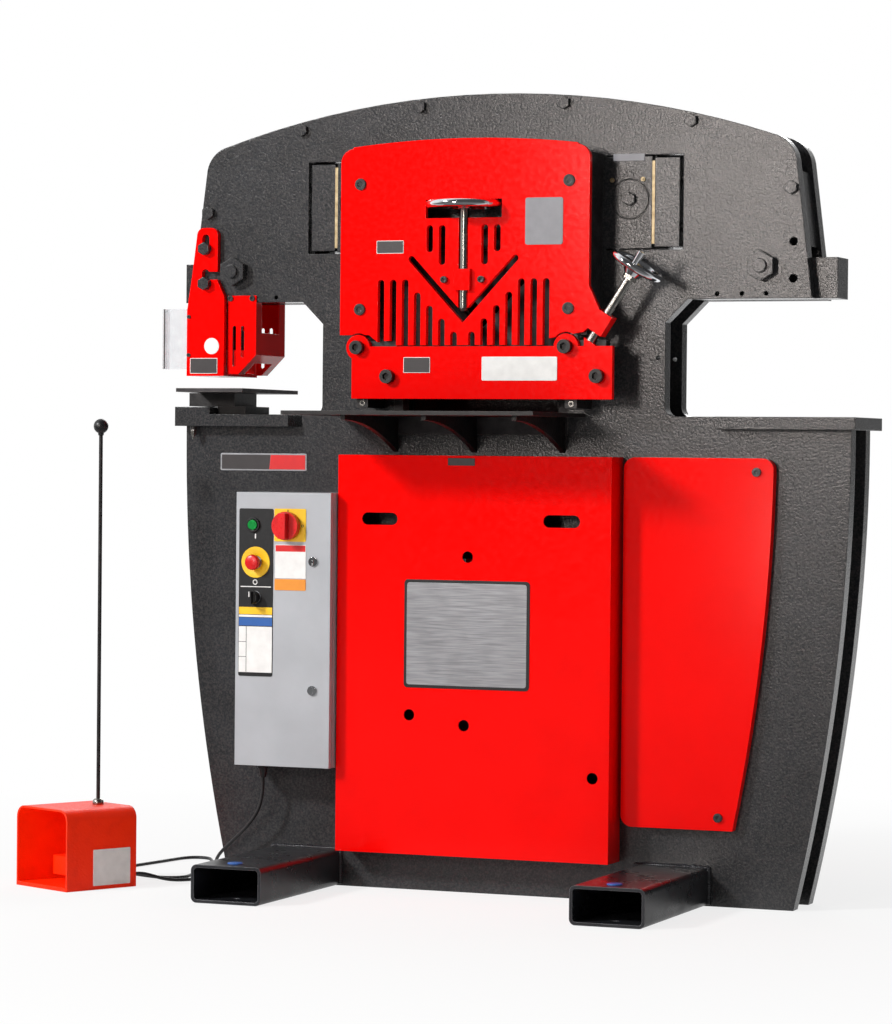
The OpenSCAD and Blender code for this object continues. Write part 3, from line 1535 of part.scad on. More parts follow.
module pedal_base() {
    half = pedal_w / 2 - pedal_wall;
    lug_x = treadle[0] / 2 + over;
    color("#c62d0c") pedal_frame() {
        block([-half, -pedal_d / 2, 0], [half, pedal_d / 2 - pedal_wall, pedal_base_h]);
        for (s = [-1, 1]) mirror([s < 0 ? 1 : 0, 0, 0])
            block([lug_x, tread_pin_y - tread_lug, pedal_base_h],
                [lug_x + tread_lug, tread_pin_y + tread_lug, tread_pin_z + tread_lug]);
        translate([-lug_x, tread_pin_y, tread_pin_z]) rotate([0, 90, 0])
            cylinder(h = 2 * lug_x, r = tread_pin_r);
    }
}
module treadle_pad() {
    half = treadle[0] / 2;
    color("#ea4210") pedal_frame() difference() {
        translate([0, 0, treadle_z]) linear_extrude(treadle[2])
            rounded([-half, treadle_y], [half, treadle_y + treadle[1]], treadle_round);
        translate([-half - over, tread_pin_y, tread_pin_z]) rotate([0, 90, 0])
            cylinder(h = treadle[0] + 2 * over, r = tread_pin_r + hinge_fit);
    }
}
module pedal_rod() {
    color("#1e1e20") pedal_frame() translate([rod_x, rod_y_share * pedal_d, 0]) {
        translate([0, 0, pedal_h]) cylinder(h = rod_nut_h, r = rod_nut_af / (2 * cos(30)), $fn = 6);
        translate([0, 0, pedal_h]) cylinder(h = rod_h - pedal_h, d = rod_d);
        translate([0, 0, rod_h]) sphere(r = ball_r);
    }
}
module pedal_cord() {
    color("#1a1a1c") tube(smooth(route), cord_d / 2, cord_sides);
}

front_plate();
rear_plate();
frame_spacers();
frame_bolts();
tie_studs();
feet();
gib_blocks();
gib_strips();
gib_keepers();
grease_nipples();
shear_housing();
upper_guard();
guide_blocks();
hold_down_plate();
shoulder_bolts();
spindle_bosses();
angle_tip();
angle_spindle();
angle_handwheel();
flat_spindle();
flat_handwheel();
shear_table();
blade_block();
lower_blades();
upper_blades();
rear_hood();
beam();
pull_yoke();
main_cylinder();
piston_rod();
motor_and_valve();
oil_tank();
hoses();
punch_holder();
punch();
die();
die_holder();
die_plate();
left_bolster();
right_bolster();
stripper();
punch_guard();
clear_shield();
front_cover();
side_panel();
rear_cover();
cabinet();
cabinet_door();
start_button();
estop_button();
selector_knob();
disconnect_handle();
upper_latch();
lower_latch();
cable_glands();
pedal_guard();
pedal_base();
treadle_pad();
pedal_rod();
pedal_cord();
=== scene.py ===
# Dresses a hydraulic ironworker: finishes, plates, controls, welds, screws and the foot switch cord
import math

import bmesh
import bpy
from mathutils import Matrix, Vector


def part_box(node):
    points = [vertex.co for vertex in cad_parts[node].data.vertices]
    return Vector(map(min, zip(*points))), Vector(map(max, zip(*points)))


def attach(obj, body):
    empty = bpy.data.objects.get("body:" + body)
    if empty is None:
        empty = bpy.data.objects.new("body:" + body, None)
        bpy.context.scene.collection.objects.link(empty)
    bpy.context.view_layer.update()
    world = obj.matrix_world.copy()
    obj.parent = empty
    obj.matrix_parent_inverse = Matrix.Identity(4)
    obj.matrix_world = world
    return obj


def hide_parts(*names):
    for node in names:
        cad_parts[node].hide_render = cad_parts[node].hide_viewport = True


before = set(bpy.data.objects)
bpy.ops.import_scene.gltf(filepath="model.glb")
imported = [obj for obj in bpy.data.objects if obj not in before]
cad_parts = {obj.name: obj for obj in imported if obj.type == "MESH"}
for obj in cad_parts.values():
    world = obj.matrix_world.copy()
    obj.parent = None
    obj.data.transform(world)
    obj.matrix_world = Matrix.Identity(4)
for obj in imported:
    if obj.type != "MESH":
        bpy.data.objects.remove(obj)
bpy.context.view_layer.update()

bl_info = {
    "name": "Ironworker dressing",
    "version": (1, 0, 0),
    "blender": (4, 5, 0),
    "location": "View3D > Sidebar > Ironworker",
    "description": "Finishes, plates, controls, welds, screws and foot switch cord of an ironworker",
    "category": "Object",
}

MM = 0.001
UPRIGHT = Matrix.Identity(4)
FACE_FRONT = Matrix.Rotation(math.radians(90), 4, "X")
WHITE = (1.0, 1.0, 1.0, 1.0)

# The stretch of a noise's range where most of its values lie
MIDDLE = (0.3, 0.7)

# The camera: its place in metres, its turns, and its focal length and sensor height in millimetres
CAMERA_PLACE = (2.6708, -6.99906, 0.89158)
YAW, PITCH, ROLL = (math.radians(angle) for angle in (21.759, 0.883, 0.531))
FOCAL_LENGTH, SENSOR_HEIGHT = 128.29, 36.0

# Each lamp's place and width in metres, its power in watts and its tint
LAMPS = {
    "key softbox": ((-3.9, -4.6, 3.9), 0.8, 370.0, "#ffffff"),
    "front softbox": ((-1.2, -6.4, 2.05), 0.9, 84.0, "#fff5ee"),
    "low softbox": ((-0.9, -6.4, 0.6), 0.5, 9.0, "#fff5ee"),
    "right fill": ((5.5, 0.6, 2.6), 3.0, 8.0, "#ffffff"),
    "rear fill": ((-1.5, 5.5, 3.2), 3.0, 130.0, "#ffffff"),
}
LAMP_AIM = Vector((0.0, 0.0, 1.0))

# Middles of the controls on the door, X and Z in millimetres
START, STOP, SELECTOR, ISOLATOR = (-481.0, 746.0), (-475.0, 669.0), (-477.0, 597.0), (-403.4, 745.0)

# Thickness of printed films, of thin rules and of small marks, and the ease of a film's edges, in millimetres
FILM, RULE, MARK, FILM_EASE = 0.4, 0.2, 0.3, 0.1

# The feet's middles and half width in X, and the places of their caps in Y, in millimetres
FOOT_X, FOOT_HALF, CAP_Y = 399, 76.2, 421

# Colours of the films that have no setting
FILM_COLOURS = {
    "white film": "#e6e6e4", "blue film": "#2b5fa8", "orange film": "#e8912e",
    "grey film": "#85858a", "dark film": "#363233", "red film": "#d3161a",
}

# The cord's route in millimetres, from the gland under the cabinet to the foot switch
CORD_ROUTE = [
    (-478, -120, 222), (-478, -120, 190), (-487, -118, 152), (-515, -114.5, 118), (-554, -107, 84),
    (-592, -89, 55), (-615, -56, 34), (-640, -8, 19), (-670, 56, 8), (-702, 121, 4.2),
    (-736, 183, 3.6), (-757, 221, 3.6), (-771, 239, 3.6), (-792, 246, 3.6), (-812, 238, 3.6),
    (-823, 218, 3.6), (-829, 180, 3.6), (-838, 115, 3.6), (-852, 38, 3.6), (-855, -12, 3.6),
    (-842, -56, 3.6), (-811, -89, 3.6), (-763, -112, 3.6), (-719, -132, 3.6), (-691, -135, 3.6),
    (-669, -121, 3.6), (-662, -96, 3.6), (-667, -70, 3.6), (-670, -44, 3.6), (-660, -20, 3.6),
    (-636, -10, 3.6), (-612, -20, 3.6), (-602, -44, 3.6), (-606, -78, 3.6), (-624, -124, 3.6),
    (-645, -161, 3.6), (-667, -179, 5.5), (-693, -188, 12), (-713, -202, 20), (-727, -230, 20),
]

# Which finish each carried-over node wears
NODE_FINISH = {
    "textured powder coat": [
        "front_plate", "rear_plate", "frame_spacers", "beam", "left_bolster", "right_bolster",
        "gib_blocks", "gib_keepers", "pull_yoke", "rear_hood", "frame_bolts", "tie_studs"],
    "semi-gloss enamel": ["feet", "oil_tank"],
    "black oxide steel": [
        "shoulder_bolts", "punch_holder", "pedal_rod", "guide_blocks", "shear_table", "die_holder"],
    "phosphated steel": ["shear_housing", "blade_block", "die_plate"],
    "gloss red powder coat": [
        "upper_guard", "hold_down_plate", "spindle_bosses", "stripper", "punch_guard", "front_cover",
        "side_panel", "rear_cover"],
    "bearing bronze": ["gib_strips", "grease_nipples"],
    "zinc plated steel": ["angle_spindle", "flat_spindle"],
    "chrome plate": ["angle_handwheel", "flat_handwheel", "piston_rod", "upper_latch", "lower_latch"],
    "ground tool steel": ["angle_tip", "lower_blades", "upper_blades", "punch", "die"],
    "blue grey machine paint": ["main_cylinder", "motor_and_valve"],
    "moulded black rubber": ["hoses", "pedal_cord"],
    "clear polycarbonate": ["clear_shield"],
    "satin grey enamel": ["cabinet", "cabinet_door"],
    "green acrylic": ["start_button"],
    "red moulded plastic": ["estop_button", "disconnect_handle"],
    "black moulded plastic": ["selector_knob", "cable_glands"],
    "orange cast paint": ["pedal_guard", "pedal_base", "treadle_pad"],
}


def hex_colour(code):
    """An sRGB hex value as linear red, green, blue and alpha."""
    shares = [int(code[i:i + 2], 16) / 255 for i in (1, 3, 5)]
    return [s / 12.92 if s <= 0.04045 else ((s + 0.055) / 1.055) ** 2.4 for s in shares] + [1.0]


def shade(colour, factor):
    """The colour made darker or lighter by a factor."""
    return [min(1.0, c * factor) for c in colour[:3]] + [1.0]


def two_tone(dark, pale, start=MIDDLE[0]):
    """Ramp stops from a dark hex value to a pale one, equally far from the ramp's two ends."""
    return [(start, hex_colour(dark)), (1 - start, hex_colour(pale))]


def shades(colour, low, high):
    """Ramp stops from a darker to a lighter shade of one colour."""
    return [(MIDDLE[0], shade(colour, low)), (MIDDLE[1], shade(colour, high))]


def colour_setting(label, about, code):
    """A colour that a user may change."""
    return bpy.props.FloatVectorProperty(
        name=label, description=about, default=hex_colour(code), size=4, min=0.0, max=1.0, subtype="COLOR")


def length_setting(label, about, metres):
    """A length that a user may change."""
    return bpy.props.FloatProperty(
        name=label, description=about, default=metres, min=0.0, precision=4,
        unit="LENGTH", subtype="DISTANCE")


class IronworkerColours(bpy.types.PropertyGroup):
    """Colours of the machine's finishes."""
    frame_coat: colour_setting("Frame coat", "Charcoal coat of the frame plates and beam", "#28292c")
    # The coat flake colour is laid on the tops of the coat's lumps, as a painted glint
    flake_and_glint: colour_setting("Coat flake", "Pale flake in the frame coat", "#b3aca3")
    gloss_red: colour_setting("Guard red", "Coat of the guards and covers", "#f80200")
    foot_enamel: colour_setting("Foot enamel", "Enamel of the feet and the oil tank", "#222327")
    cabinet: colour_setting("Cabinet grey", "Enamel of the control cabinet", "#abaeb3")
    foot_switch: colour_setting("Foot switch orange", "Paint of the foot switch", "#ff2d02")
    legend: colour_setting("Legend black", "Backing plate of the controls", "#17181a")
    warning_yellow: colour_setting("Yellow plates", "Plates behind the stop and the disconnect", "#f2c21a")
    plug_blue: colour_setting("Plug blue", "Caps in the tops of the feet", "#2f66b8")


class IronworkerSizes(bpy.types.PropertyGroup):
    """Sizes of the pieces that dress the machine."""
    cord_diameter: length_setting("Cord diameter", "Outside of the foot switch cord", 0.007)
    coat_grain: length_setting("Coat grain", "Size of the coat's lumps, drawn coarse to show", 0.0036)
    edge_radius: length_setting("Edge radius", "Rounding that the edges of painted plates show", 0.0016)
    plate_thickness: length_setting("Plate thickness", "Thickness of the plain plates", 0.0012)
    weld_width: length_setting("Weld width", "Width of the weld beads at the feet", 0.011)
    weld_pitch: length_setting("Weld ripple", "Distance between the ripples of a weld", 0.0036)
    plug_radius: length_setting("Plug radius", "Radius of the caps in the feet", 0.0155)
    cap_radius: length_setting("Screw radius", "Radius of the small screw heads", 0.006)


def colours():
    """The scene's colour settings."""
    return bpy.context.scene.ironworker_colours


def sizes():
    """The scene's size settings."""
    return bpy.context.scene.ironworker_sizes


def add(tree, kind, links=None, sockets=None, stops=None, **settings):
    """Adds one node with its settings, socket values, links and two ramp stops."""
    node = tree.nodes.new(kind)
    for name, value in settings.items():
        setattr(node, name, value)
    for key, value in (sockets or {}).items():
        node.inputs[key].default_value = value
    for key, source in (links or {}).items():
        tree.links.new(source, node.inputs[key])
    if stops:
        for element, (position, colour) in zip(node.color_ramp.elements, stops):
            element.position = position
            element.color = colour
    return node


def start_material(name):
    """The empty tree of a new node material, and the object coordinates in it."""
    material = bpy.data.materials.new(name)
    material.use_nodes = True
    tree = material.node_tree
    tree.nodes.clear()
    return tree, add(tree, "ShaderNodeTexCoord").outputs["Object"]


def noise(tree, place, size, detail, **sockets):
    """Cloudy noise whose blotches are about size metres across."""
    sockets.update({"Scale": 1 / size, "Detail": detail})
    return add(tree, "ShaderNodeTexNoise", {"Vector": place}, sockets).outputs["Fac"]


def ranged(tree, value, source, target):
    """A value carried from one range of numbers to another."""
    ends = {"From Min": source[0], "From Max": source[1], "To Min": target[0], "To Max": target[1]}
    return add(tree, "ShaderNodeMapRange", {"Value": value}, ends).outputs["Result"]


def reckon(tree, operation, first, second):
    """Arithmetic on two numbers, each a socket or a plain float."""
    numbers = {0: first, 1: second}
    plain = {key: number for key, number in numbers.items() if isinstance(number, float)}
    links = {key: number for key, number in numbers.items() if key not in plain}
    return add(tree, "ShaderNodeMath", links, plain, operation=operation).outputs["Value"]


def ramp(tree, value, stops):
    """A colour that follows a value along ramp stops."""
    return add(tree, "ShaderNodeValToRGB", {"Fac": value}, stops=stops).outputs["Color"]


def mixed(tree, share, tint, other):
    """A tint with a share of one other colour in it."""
    return add(tree, "ShaderNodeMix", {0: share, 6: tint}, {7: other}, data_type="RGBA").outputs[2]


def eased_normal(tree, radius):
    """The surface's normal with its edges rounded by a radius in metres."""
    return add(tree, "ShaderNodeBevel", sockets={"Radius": radius}, samples=4).outputs["Normal"]


def edge_wear_and_painted_highlight(tree, tint, eased, reach, most, edge_tint):
    """A tint that gives way to another colour along edges, where the eased normal leaves the flat one: wear
    on some finishes, a painted highlight on the enamel of the feet.
    """
    flat = add(tree, "ShaderNodeNewGeometry").outputs["Normal"]
    meet = add(tree, "ShaderNodeVectorMath", {0: eased, 1: flat}, operation="DOT_PRODUCT")
    return mixed(tree, ranged(tree, meet.outputs["Value"], reach, (0.0, most)), tint, edge_tint)


def bumped(tree, height, normal, strength, distance):
    """A normal, eased or not, bent by a height that is worth distance metres."""
    links = {"Height": height}
    if normal is not None:
        links["Normal"] = normal
    return add(tree, "ShaderNodeBump", links, {"Strength": strength, "Distance": distance}).outputs["Normal"]


def surface(tree, links, **sockets):
    """The material's shader, fed by links and plain values, and its output."""
    shader = add(tree, "ShaderNodeBsdfPrincipled", links, sockets)
    add(tree, "ShaderNodeOutputMaterial", {"Surface": shader.outputs["BSDF"]})


def finish(name, tones, mottle, grain, relief, roughness, edge=0.0, edge_tint=None, **sockets):
    """A finish whose tones are mottled at one size and whose relief has a finer grain, in metres.

    Edges are eased by edge metres, and an edge colour, where one is given, shows along them.
    """
    tree, place = start_material(name)
    grit = noise(tree, place, grain, 2.0)
    tint = ramp(tree, noise(tree, place, mottle, 3.0), tones)
    eased = eased_normal(tree, edge) if edge else None
    if edge_tint:
        tint = edge_wear_and_painted_highlight(tree, tint, eased, reach=(0.99, 0.85), most=0.9, edge_tint=edge_tint)
    surface(tree, {"Base Color": tint, "Roughness": ranged(tree, grit, MIDDLE, roughness),
                   "Normal": bumped(tree, grit, eased, strength=1.0, distance=relief)}, **sockets)


def brushed(name, tones, along, roughness, metallic, edge=0.001):
    """Metal whose tool marks run along one axis: streaks a few tenths of a millimetre wide, drawn coarser."""
    tree, place = start_material(name)
    width, length = 0.0025, 0.06
    stretch = [1 / width] * 3
    stretch["XYZ".index(along)] = 1 / length
    laid = add(tree, "ShaderNodeMapping", {"Vector": place}, {"Scale": stretch}).outputs["Vector"]
    streaks = noise(tree, laid, 1.0, 3.0)
    gloss = ranged(tree, noise(tree, place, 0.04, 2.0), MIDDLE, roughness)
    relief = bumped(tree, streaks, eased_normal(tree, edge), strength=0.25, distance=0.0003)
    surface(tree, {"Base Color": ramp(tree, streaks, tones), "Roughness": gloss, "Normal": relief},
            Metallic=metallic)


def textured_powder_coat():
    """Polyester powder coat with a leather-like texture: shiny lumps whose tops are faintly paler, a painted
    glint in the pale flake colour.
    """
    tree, place = start_material("textured powder coat")
    grain = sizes().coat_grain
    lumps = noise(tree, place, grain, 3.0, Roughness=0.6)
    cells = add(tree, "ShaderNodeTexVoronoi", {"Vector": place},
                {"Scale": 1 / (1.3 * grain)}).outputs["Distance"]
    ground = ramp(tree, noise(tree, place, 0.09, 3.0), shades(colours().frame_coat, 0.86, 1.2))
    # Painted glint: the tops of the lumps take a little of the pale flake colour
    tint = mixed(tree, ranged(tree, lumps, (0.4, 0.75), (0.0, 0.09)), ground, list(colours().flake_and_glint))
    eased = eased_normal(tree, 1.5 * sizes().edge_radius)
    dimples = bumped(tree, cells, eased, strength=0.6, distance=0.07 * grain)
    relief = bumped(tree, lumps, dimples, strength=0.8, distance=0.15 * grain)
    gloss = ranged(tree, cells, (0.0, 0.8), (0.12, 0.22))
    surface(tree, {"Base Color": tint, "Roughness": gloss, "Normal": relief}, IOR=1.5)


def semi_gloss_enamel():
    """Sprayed enamel on rolled tube: smooth, with a painted highlight of pale blue grey along the edges of
    the tube ends.
    """
    tree, place = start_material("semi-gloss enamel")
    clouds = noise(tree, place, 0.05, 4.0)
    eased = eased_normal(tree, 0.002)
    ground = ramp(tree, clouds, shades(colours().foot_enamel, 0.85, 1.3))
    # The pale blue grey along the edges of the tube ends is a painted highlight
    tint = edge_wear_and_painted_highlight(tree, ground, eased, reach=(0.98, 0.8), most=0.75, edge_tint=hex_colour("#8f9094"))
    relief = bumped(tree, noise(tree, place, 0.007, 2.0), eased, strength=0.5, distance=0.0002)
    gloss = ranged(tree, clouds, MIDDLE, (0.24, 0.36))
    surface(tree, {"Base Color": tint, "Roughness": gloss, "Normal": relief})


def clear_polycarbonate():
    """Clear sheet that one sees through, with the pale grey haze of a scuffed guard."""
    tree, place = start_material("clear polycarbonate")
    haze = noise(tree, place, 0.02, 3.0)
    surface(tree, {"Roughness": ranged(tree, haze, MIDDLE, (0.06, 0.14)),
                   "Alpha": ranged(tree, haze, MIDDLE, (0.26, 0.34))},
            IOR=1.58, **{"Base Color": hex_colour("#c9ccd2")})


def paints():
    """Painted and powder coated finishes."""
    paint = colours()
    edge = sizes().edge_radius
    # Gloss powder coat: even strong red with the faint orange peel of melted powder
    finish("gloss red powder coat", shades(paint.gloss_red, 0.94, 1.0), mottle=0.12, grain=0.009,
           relief=0.00006, roughness=(0.1, 0.16), edge=edge, **{"Specular IOR Level": 0.28})
    # Satin enamel on bent sheet: pale grey, a little uneven where it was sprayed
    finish("satin grey enamel", shades(paint.cabinet, 0.93, 1.05), mottle=0.1, grain=0.006, relief=0.00015,
           roughness=(0.36, 0.46), edge=edge)
    # Safety paint on a cast housing: grainy orange red, with a faint painted glow that stands in for light on
    # its shaded sides
    orange = list(paint.foot_switch)
    finish("orange cast paint", shades(orange, 0.85, 1.08), mottle=0.04, grain=0.0045, relief=0.0006,
           roughness=(0.34, 0.5), edge=0.0025, edge_tint=shade(orange, 1.4),
           **{"Specular IOR Level": 0.25, "Emission Color": orange, "Emission Strength": 0.07})
    # Machine paint on castings: blue grey, slightly lumpy
    finish("blue grey machine paint", two_tone("#3f4a57", "#4f5c6b"), mottle=0.05, grain=0.006, relief=0.0004,
           roughness=(0.35, 0.5), edge=edge)
    # Weld metal under paint: dark ripples, about as shiny as the enamel of the feet
    finish("painted weld", shades(paint.foot_enamel, 0.8, 1.5), mottle=0.012, grain=0.003, relief=0.0003,
           roughness=(0.26, 0.4))


def metals():
    """Bare, plated and blackened metals."""
    # Blackened steel: dark, faintly brown, with bare metal where keys and hands rub it
    finish("black oxide steel", two_tone("#1d1c1d", "#2f2d2d"), mottle=0.02, grain=0.004, relief=0.0002,
           roughness=(0.32, 0.5), edge=0.001, edge_tint=hex_colour("#6d6a68"), Metallic=0.35)
    # Phosphated steel: dull dark grey with scuffs and bright rubbed edges
    finish("phosphated steel", two_tone("#232224", "#454143", 0.25), mottle=0.035, grain=0.005, relief=0.0003,
           roughness=(0.4, 0.6), edge=0.0012, edge_tint=hex_colour("#b4aea6"), Metallic=0.4)
    # Sintered bearing bronze: warm pale yellow with a soft shine
    finish("bearing bronze", two_tone("#94815f", "#bfac88"), mottle=0.012, grain=0.003, relief=0.0002,
           roughness=(0.32, 0.45), edge=0.0006, Metallic=0.6)
    # Chrome plate: mirror bright, slightly blue, with hazy patches from handling
    finish("chrome plate", two_tone("#d9dbe0", "#f0f1f4"), mottle=0.03, grain=0.02, relief=0.00004,
           roughness=(0.05, 0.11), edge=0.0012, Metallic=1.0)
    # Zinc plate: silvery with a faint warm bloom
    brushed("zinc plated steel", two_tone("#7f7d79", "#a8a5a0"), along="Z", roughness=(0.2, 0.3),
            metallic=1.0)
    # Ground tool steel: grey with grinding lines along the edge
    brushed("ground tool steel", two_tone("#6f6a66", "#b1aca6"), along="X", roughness=(0.28, 0.42),
            metallic=1.0)
    # Satin anodised aluminium: pale plate with fine brushing across it
    brushed("brushed aluminium plate", two_tone("#87888c", "#a9aaae"), along="X", roughness=(0.34, 0.44),
            metallic=0.55, edge=0.0004)


def plastics():
    """Rubber, moulded plastics and printed films."""
    paint = colours()
    # Moulded rubber: near black, dull, with a dusty bloom
    finish("moulded black rubber", two_tone("#0f0f10", "#1d1d1f"), mottle=0.01, grain=0.002, relief=0.0001,
           roughness=(0.45, 0.6))
    # Moulded plastics: even colour, fine spark-eroded texture, soft gloss
    finish("black moulded plastic", two_tone("#121214", "#1c1c1f"), mottle=0.02, grain=0.002, relief=0.0001,
           roughness=(0.34, 0.46), edge=0.0008)
    finish("red moulded plastic", two_tone("#c90d12", "#de1417"), mottle=0.02, grain=0.003, relief=0.0001,
           roughness=(0.26, 0.36), edge=0.0015)
    finish("green acrylic", two_tone("#0c7a35", "#15933f"), mottle=0.01, grain=0.003, relief=0.00006,
           roughness=(0.16, 0.24), edge=0.001)
    finish("blue moulded plastic", shades(paint.plug_blue, 0.9, 1.1), mottle=0.01, grain=0.002, relief=0.0001,
           roughness=(0.3, 0.42), edge=0.001)
    # Printed polyester film on plates: flat colours with a slight handling haze
    films = {name: hex_colour(code) for name, code in FILM_COLOURS.items()}
    films.update({"black film": paint.legend, "yellow film": paint.warning_yellow})
    for name, colour in films.items():
        finish(name, shades(colour, 0.93, 1.04), mottle=0.02, grain=0.004, relief=0.00005,
               roughness=(0.34, 0.46))


def piece(name, shape, material, body, stands_for=(), smooth=False):
    """Makes a piece of the machine from a bmesh and lets it ride on its body."""
    mesh = bpy.data.meshes.new(name)
    shape.to_mesh(mesh)
    shape.free()
    settle(name, mesh, material, body, stands_for, smooth)


def settle(name, mesh, material, body, stands_for=(), smooth=False):
    """Puts a finished mesh in the scene as a piece that rides on its body."""
    if smooth:
        mesh.shade_smooth()
        mesh.set_sharp_from_angle(angle=math.radians(35))
    if not mesh.materials:
        mesh.materials.append(bpy.data.materials[material])
    thing = bpy.data.objects.new(name, mesh)
    bpy.context.scene.collection.objects.link(thing)
    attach(thing, body)
    if stands_for:
        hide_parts(*stands_for)


def on_circle(x, z, r, degrees):
    """The point at an angle on a circle about (x, z)."""
    angle = math.radians(degrees)
    return x + r * math.cos(angle), z + r * math.sin(angle)


def rounded(x0, z0, x1, z1, r, steps=5):
    """The outline of a rectangle with rounded corners, in millimetres."""
    corners = [(x1 - r, z0 + r, -90), (x1 - r, z1 - r, 0), (x0 + r, z1 - r, 90), (x0 + r, z0 + r, 180)]
    return [on_circle(x, z, r, start + 90 * i / steps) for x, z, start in corners for i in range(steps + 1)]


def disc(x, z, r, steps=48):
    """The outline of a disc, in millimetres."""
    return [on_circle(x, z, r, 360 * i / steps) for i in range(steps)]


def plate(outline, back, thickness, ease=0.3, holes=(), turn=None):
    """A bmesh plate of an XZ outline in millimetres that stands proud of the plane back, towards -Y.

    Its front edges are eased, its holes are (x, z, radius), and turn is a last move in metres.
    """
    shape = bmesh.new()
    loops = [outline] + [disc(*hole) for hole in holes]
    rims = []
    for y in (back, back - thickness):
        rims.append([[shape.verts.new((x * MM, y * MM, z * MM)) for x, z in loop] for loop in loops])
    front_edges = []
    for low, high in zip(*rims):
        for a, b, c, d in zip(low, low[1:] + low[:1], high[1:] + high[:1], high):
            shape.faces.new((a, b, c, d))
            front_edges.append(shape.edges.get((d, c)))
    for rim in rims:
        loose = [shape.edges.get(ends) for loop in rim for ends in zip(loop, loop[1:] + loop[:1])]
        bmesh.ops.triangle_fill(shape, edges=loose, use_beauty=True, use_dissolve=False)
    bmesh.ops.recalc_face_normals(shape, faces=shape.faces)
    if ease:
        bmesh.ops.bevel(shape, geom=front_edges, offset=ease * MM, segments=2, profile=0.5, affect="EDGES")
    if turn is not None:
        bmesh.ops.transform(shape, matrix=turn, verts=shape.verts)
    return shape


def turned(profile, place, turn, ring=False, steps=40):
    """A bmesh of a profile of (radius, height) pairs in millimetres, spun about its height.

    A ring's profile is joined to itself. The place is in millimetres too.
    """
    shape = bmesh.new()
    rows = []
    for radius, height in profile:
        count = 1 if radius == 0 else steps
        spots = [on_circle(0, 0, radius * MM, 360 * i / steps) for i in range(count)]
        rows.append([shape.verts.new((*spot, height * MM)) for spot in spots])
    if ring:
        rows.append(rows[0])
    for low, high in zip(rows, rows[1:]):
        for i in range(steps):
            j = i + 1
            corners = (low[i % len(low)], low[j % len(low)], high[j % len(high)], high[i % len(high)])
            corners = list(dict.fromkeys(corners))
            if len(corners) > 2:
                shape.faces.new(corners)
    bmesh.ops.recalc_face_normals(shape, faces=shape.faces)
    bmesh.ops.transform(shape, matrix=Matrix.Translation(Vector(place) * MM) @ turn, verts=shape.verts)
    return shape


def flat_ring(place, inner, outer, height, steps=40):
    """A bmesh ring that lies flat against a front, its radii and height in millimetres."""
    profile = [(inner, 0), (outer, 0), (outer, height), (inner, height)]
    return turned(profile, place, FACE_FRONT, True, steps)


def node_tree(name, numbers):
    """A geometry node tree with number inputs and a finish, its sources and its inputs' identifiers."""
    tree = bpy.data.node_groups.new(name, "GeometryNodeTree")
    for way in ("INPUT", "OUTPUT"):
        tree.interface.new_socket("Geometry", in_out=way, socket_type="NodeSocketGeometry")
    inputs = [(label, "NodeSocketFloat") for label in numbers] + [("Finish", "NodeSocketMaterial")]
    keys = {label: tree.interface.new_socket(label, in_out="INPUT", socket_type=kind).identifier
            for label, kind in inputs}
    return tree, add(tree, "NodeGroupInput").outputs, keys


def end_tree(tree, source, spread):
    """Ends a tree: the instances made real, in the finish that comes in."""
    real = add(tree, "GeometryNodeRealizeInstances", {"Geometry": spread.outputs["Instances"]})
    dressed = add(tree, "GeometryNodeSetMaterial",
                  {"Geometry": real.outputs["Geometry"], "Material": source["Finish"]})
    add(tree, "NodeGroupOutput", {0: dressed.outputs["Geometry"]})


def screw_tree():
    """A tree that sets a socket head screw on every point, its head towards -Y."""
    socket_share, depth_share = 0.55, 0.7
    tree, source, keys = node_tree("socket screws", ["Head radius", "Head height"])
    head = add(tree, "GeometryNodeMeshCylinder",
               {"Radius": source["Head radius"], "Depth": source["Head height"]}, {"Vertices": 24})
    rim = add(tree, "GeometryNodeExtrudeMesh",
              {"Mesh": head.outputs["Mesh"], "Selection": head.outputs["Top"]},
              {"Offset Scale": 0.0}, mode="FACES")
    narrow = add(tree, "GeometryNodeScaleElements",
                 {"Geometry": rim.outputs["Mesh"], "Selection": rim.outputs["Top"]},
                 {"Scale": socket_share}, domain="FACE")
    depth = reckon(tree, "MULTIPLY", source["Head height"], -depth_share)
    socket = add(tree, "GeometryNodeExtrudeMesh",
                 {"Mesh": narrow.outputs["Geometry"], "Selection": rim.outputs["Top"], "Offset Scale": depth},
                 mode="FACES")
    spread = add(tree, "GeometryNodeInstanceOnPoints",
                 {"Points": source["Geometry"], "Instance": socket.outputs["Mesh"]},
                 {"Rotation": (math.radians(90), 0.0, 0.0)})
    end_tree(tree, source, spread)
    return tree, keys


def weld_tree():
    """A tree that lays overlapping ripples of weld along lines, each a little different."""
    least, most, seed = (0.9, 0.9, 0.6), (1.1, 1.1, 0.75), 7
    tree, source, keys = node_tree("weld ripples", ["Width", "Ripple"])
    line = add(tree, "GeometryNodeMeshToCurve", {"Mesh": source["Geometry"]})
    steps = add(tree, "GeometryNodeCurveToPoints",
                {"Curve": line.outputs["Curve"], "Length": source["Ripple"]}, mode="LENGTH")
    drop = add(tree, "GeometryNodeMeshUVSphere",
               {"Radius": reckon(tree, "MULTIPLY", source["Width"], 0.5)}, {"Segments": 12, "Rings": 7})
    size = add(tree, "FunctionNodeRandomValue", sockets={0: least, 1: most, 8: seed},
               data_type="FLOAT_VECTOR")
    spread = add(tree, "GeometryNodeInstanceOnPoints",
                 {"Points": steps.outputs["Points"], "Instance": drop.outputs["Mesh"],
                  "Rotation": steps.outputs["Rotation"], "Scale": size.outputs[0]})
    end_tree(tree, source, spread)
    return tree, keys


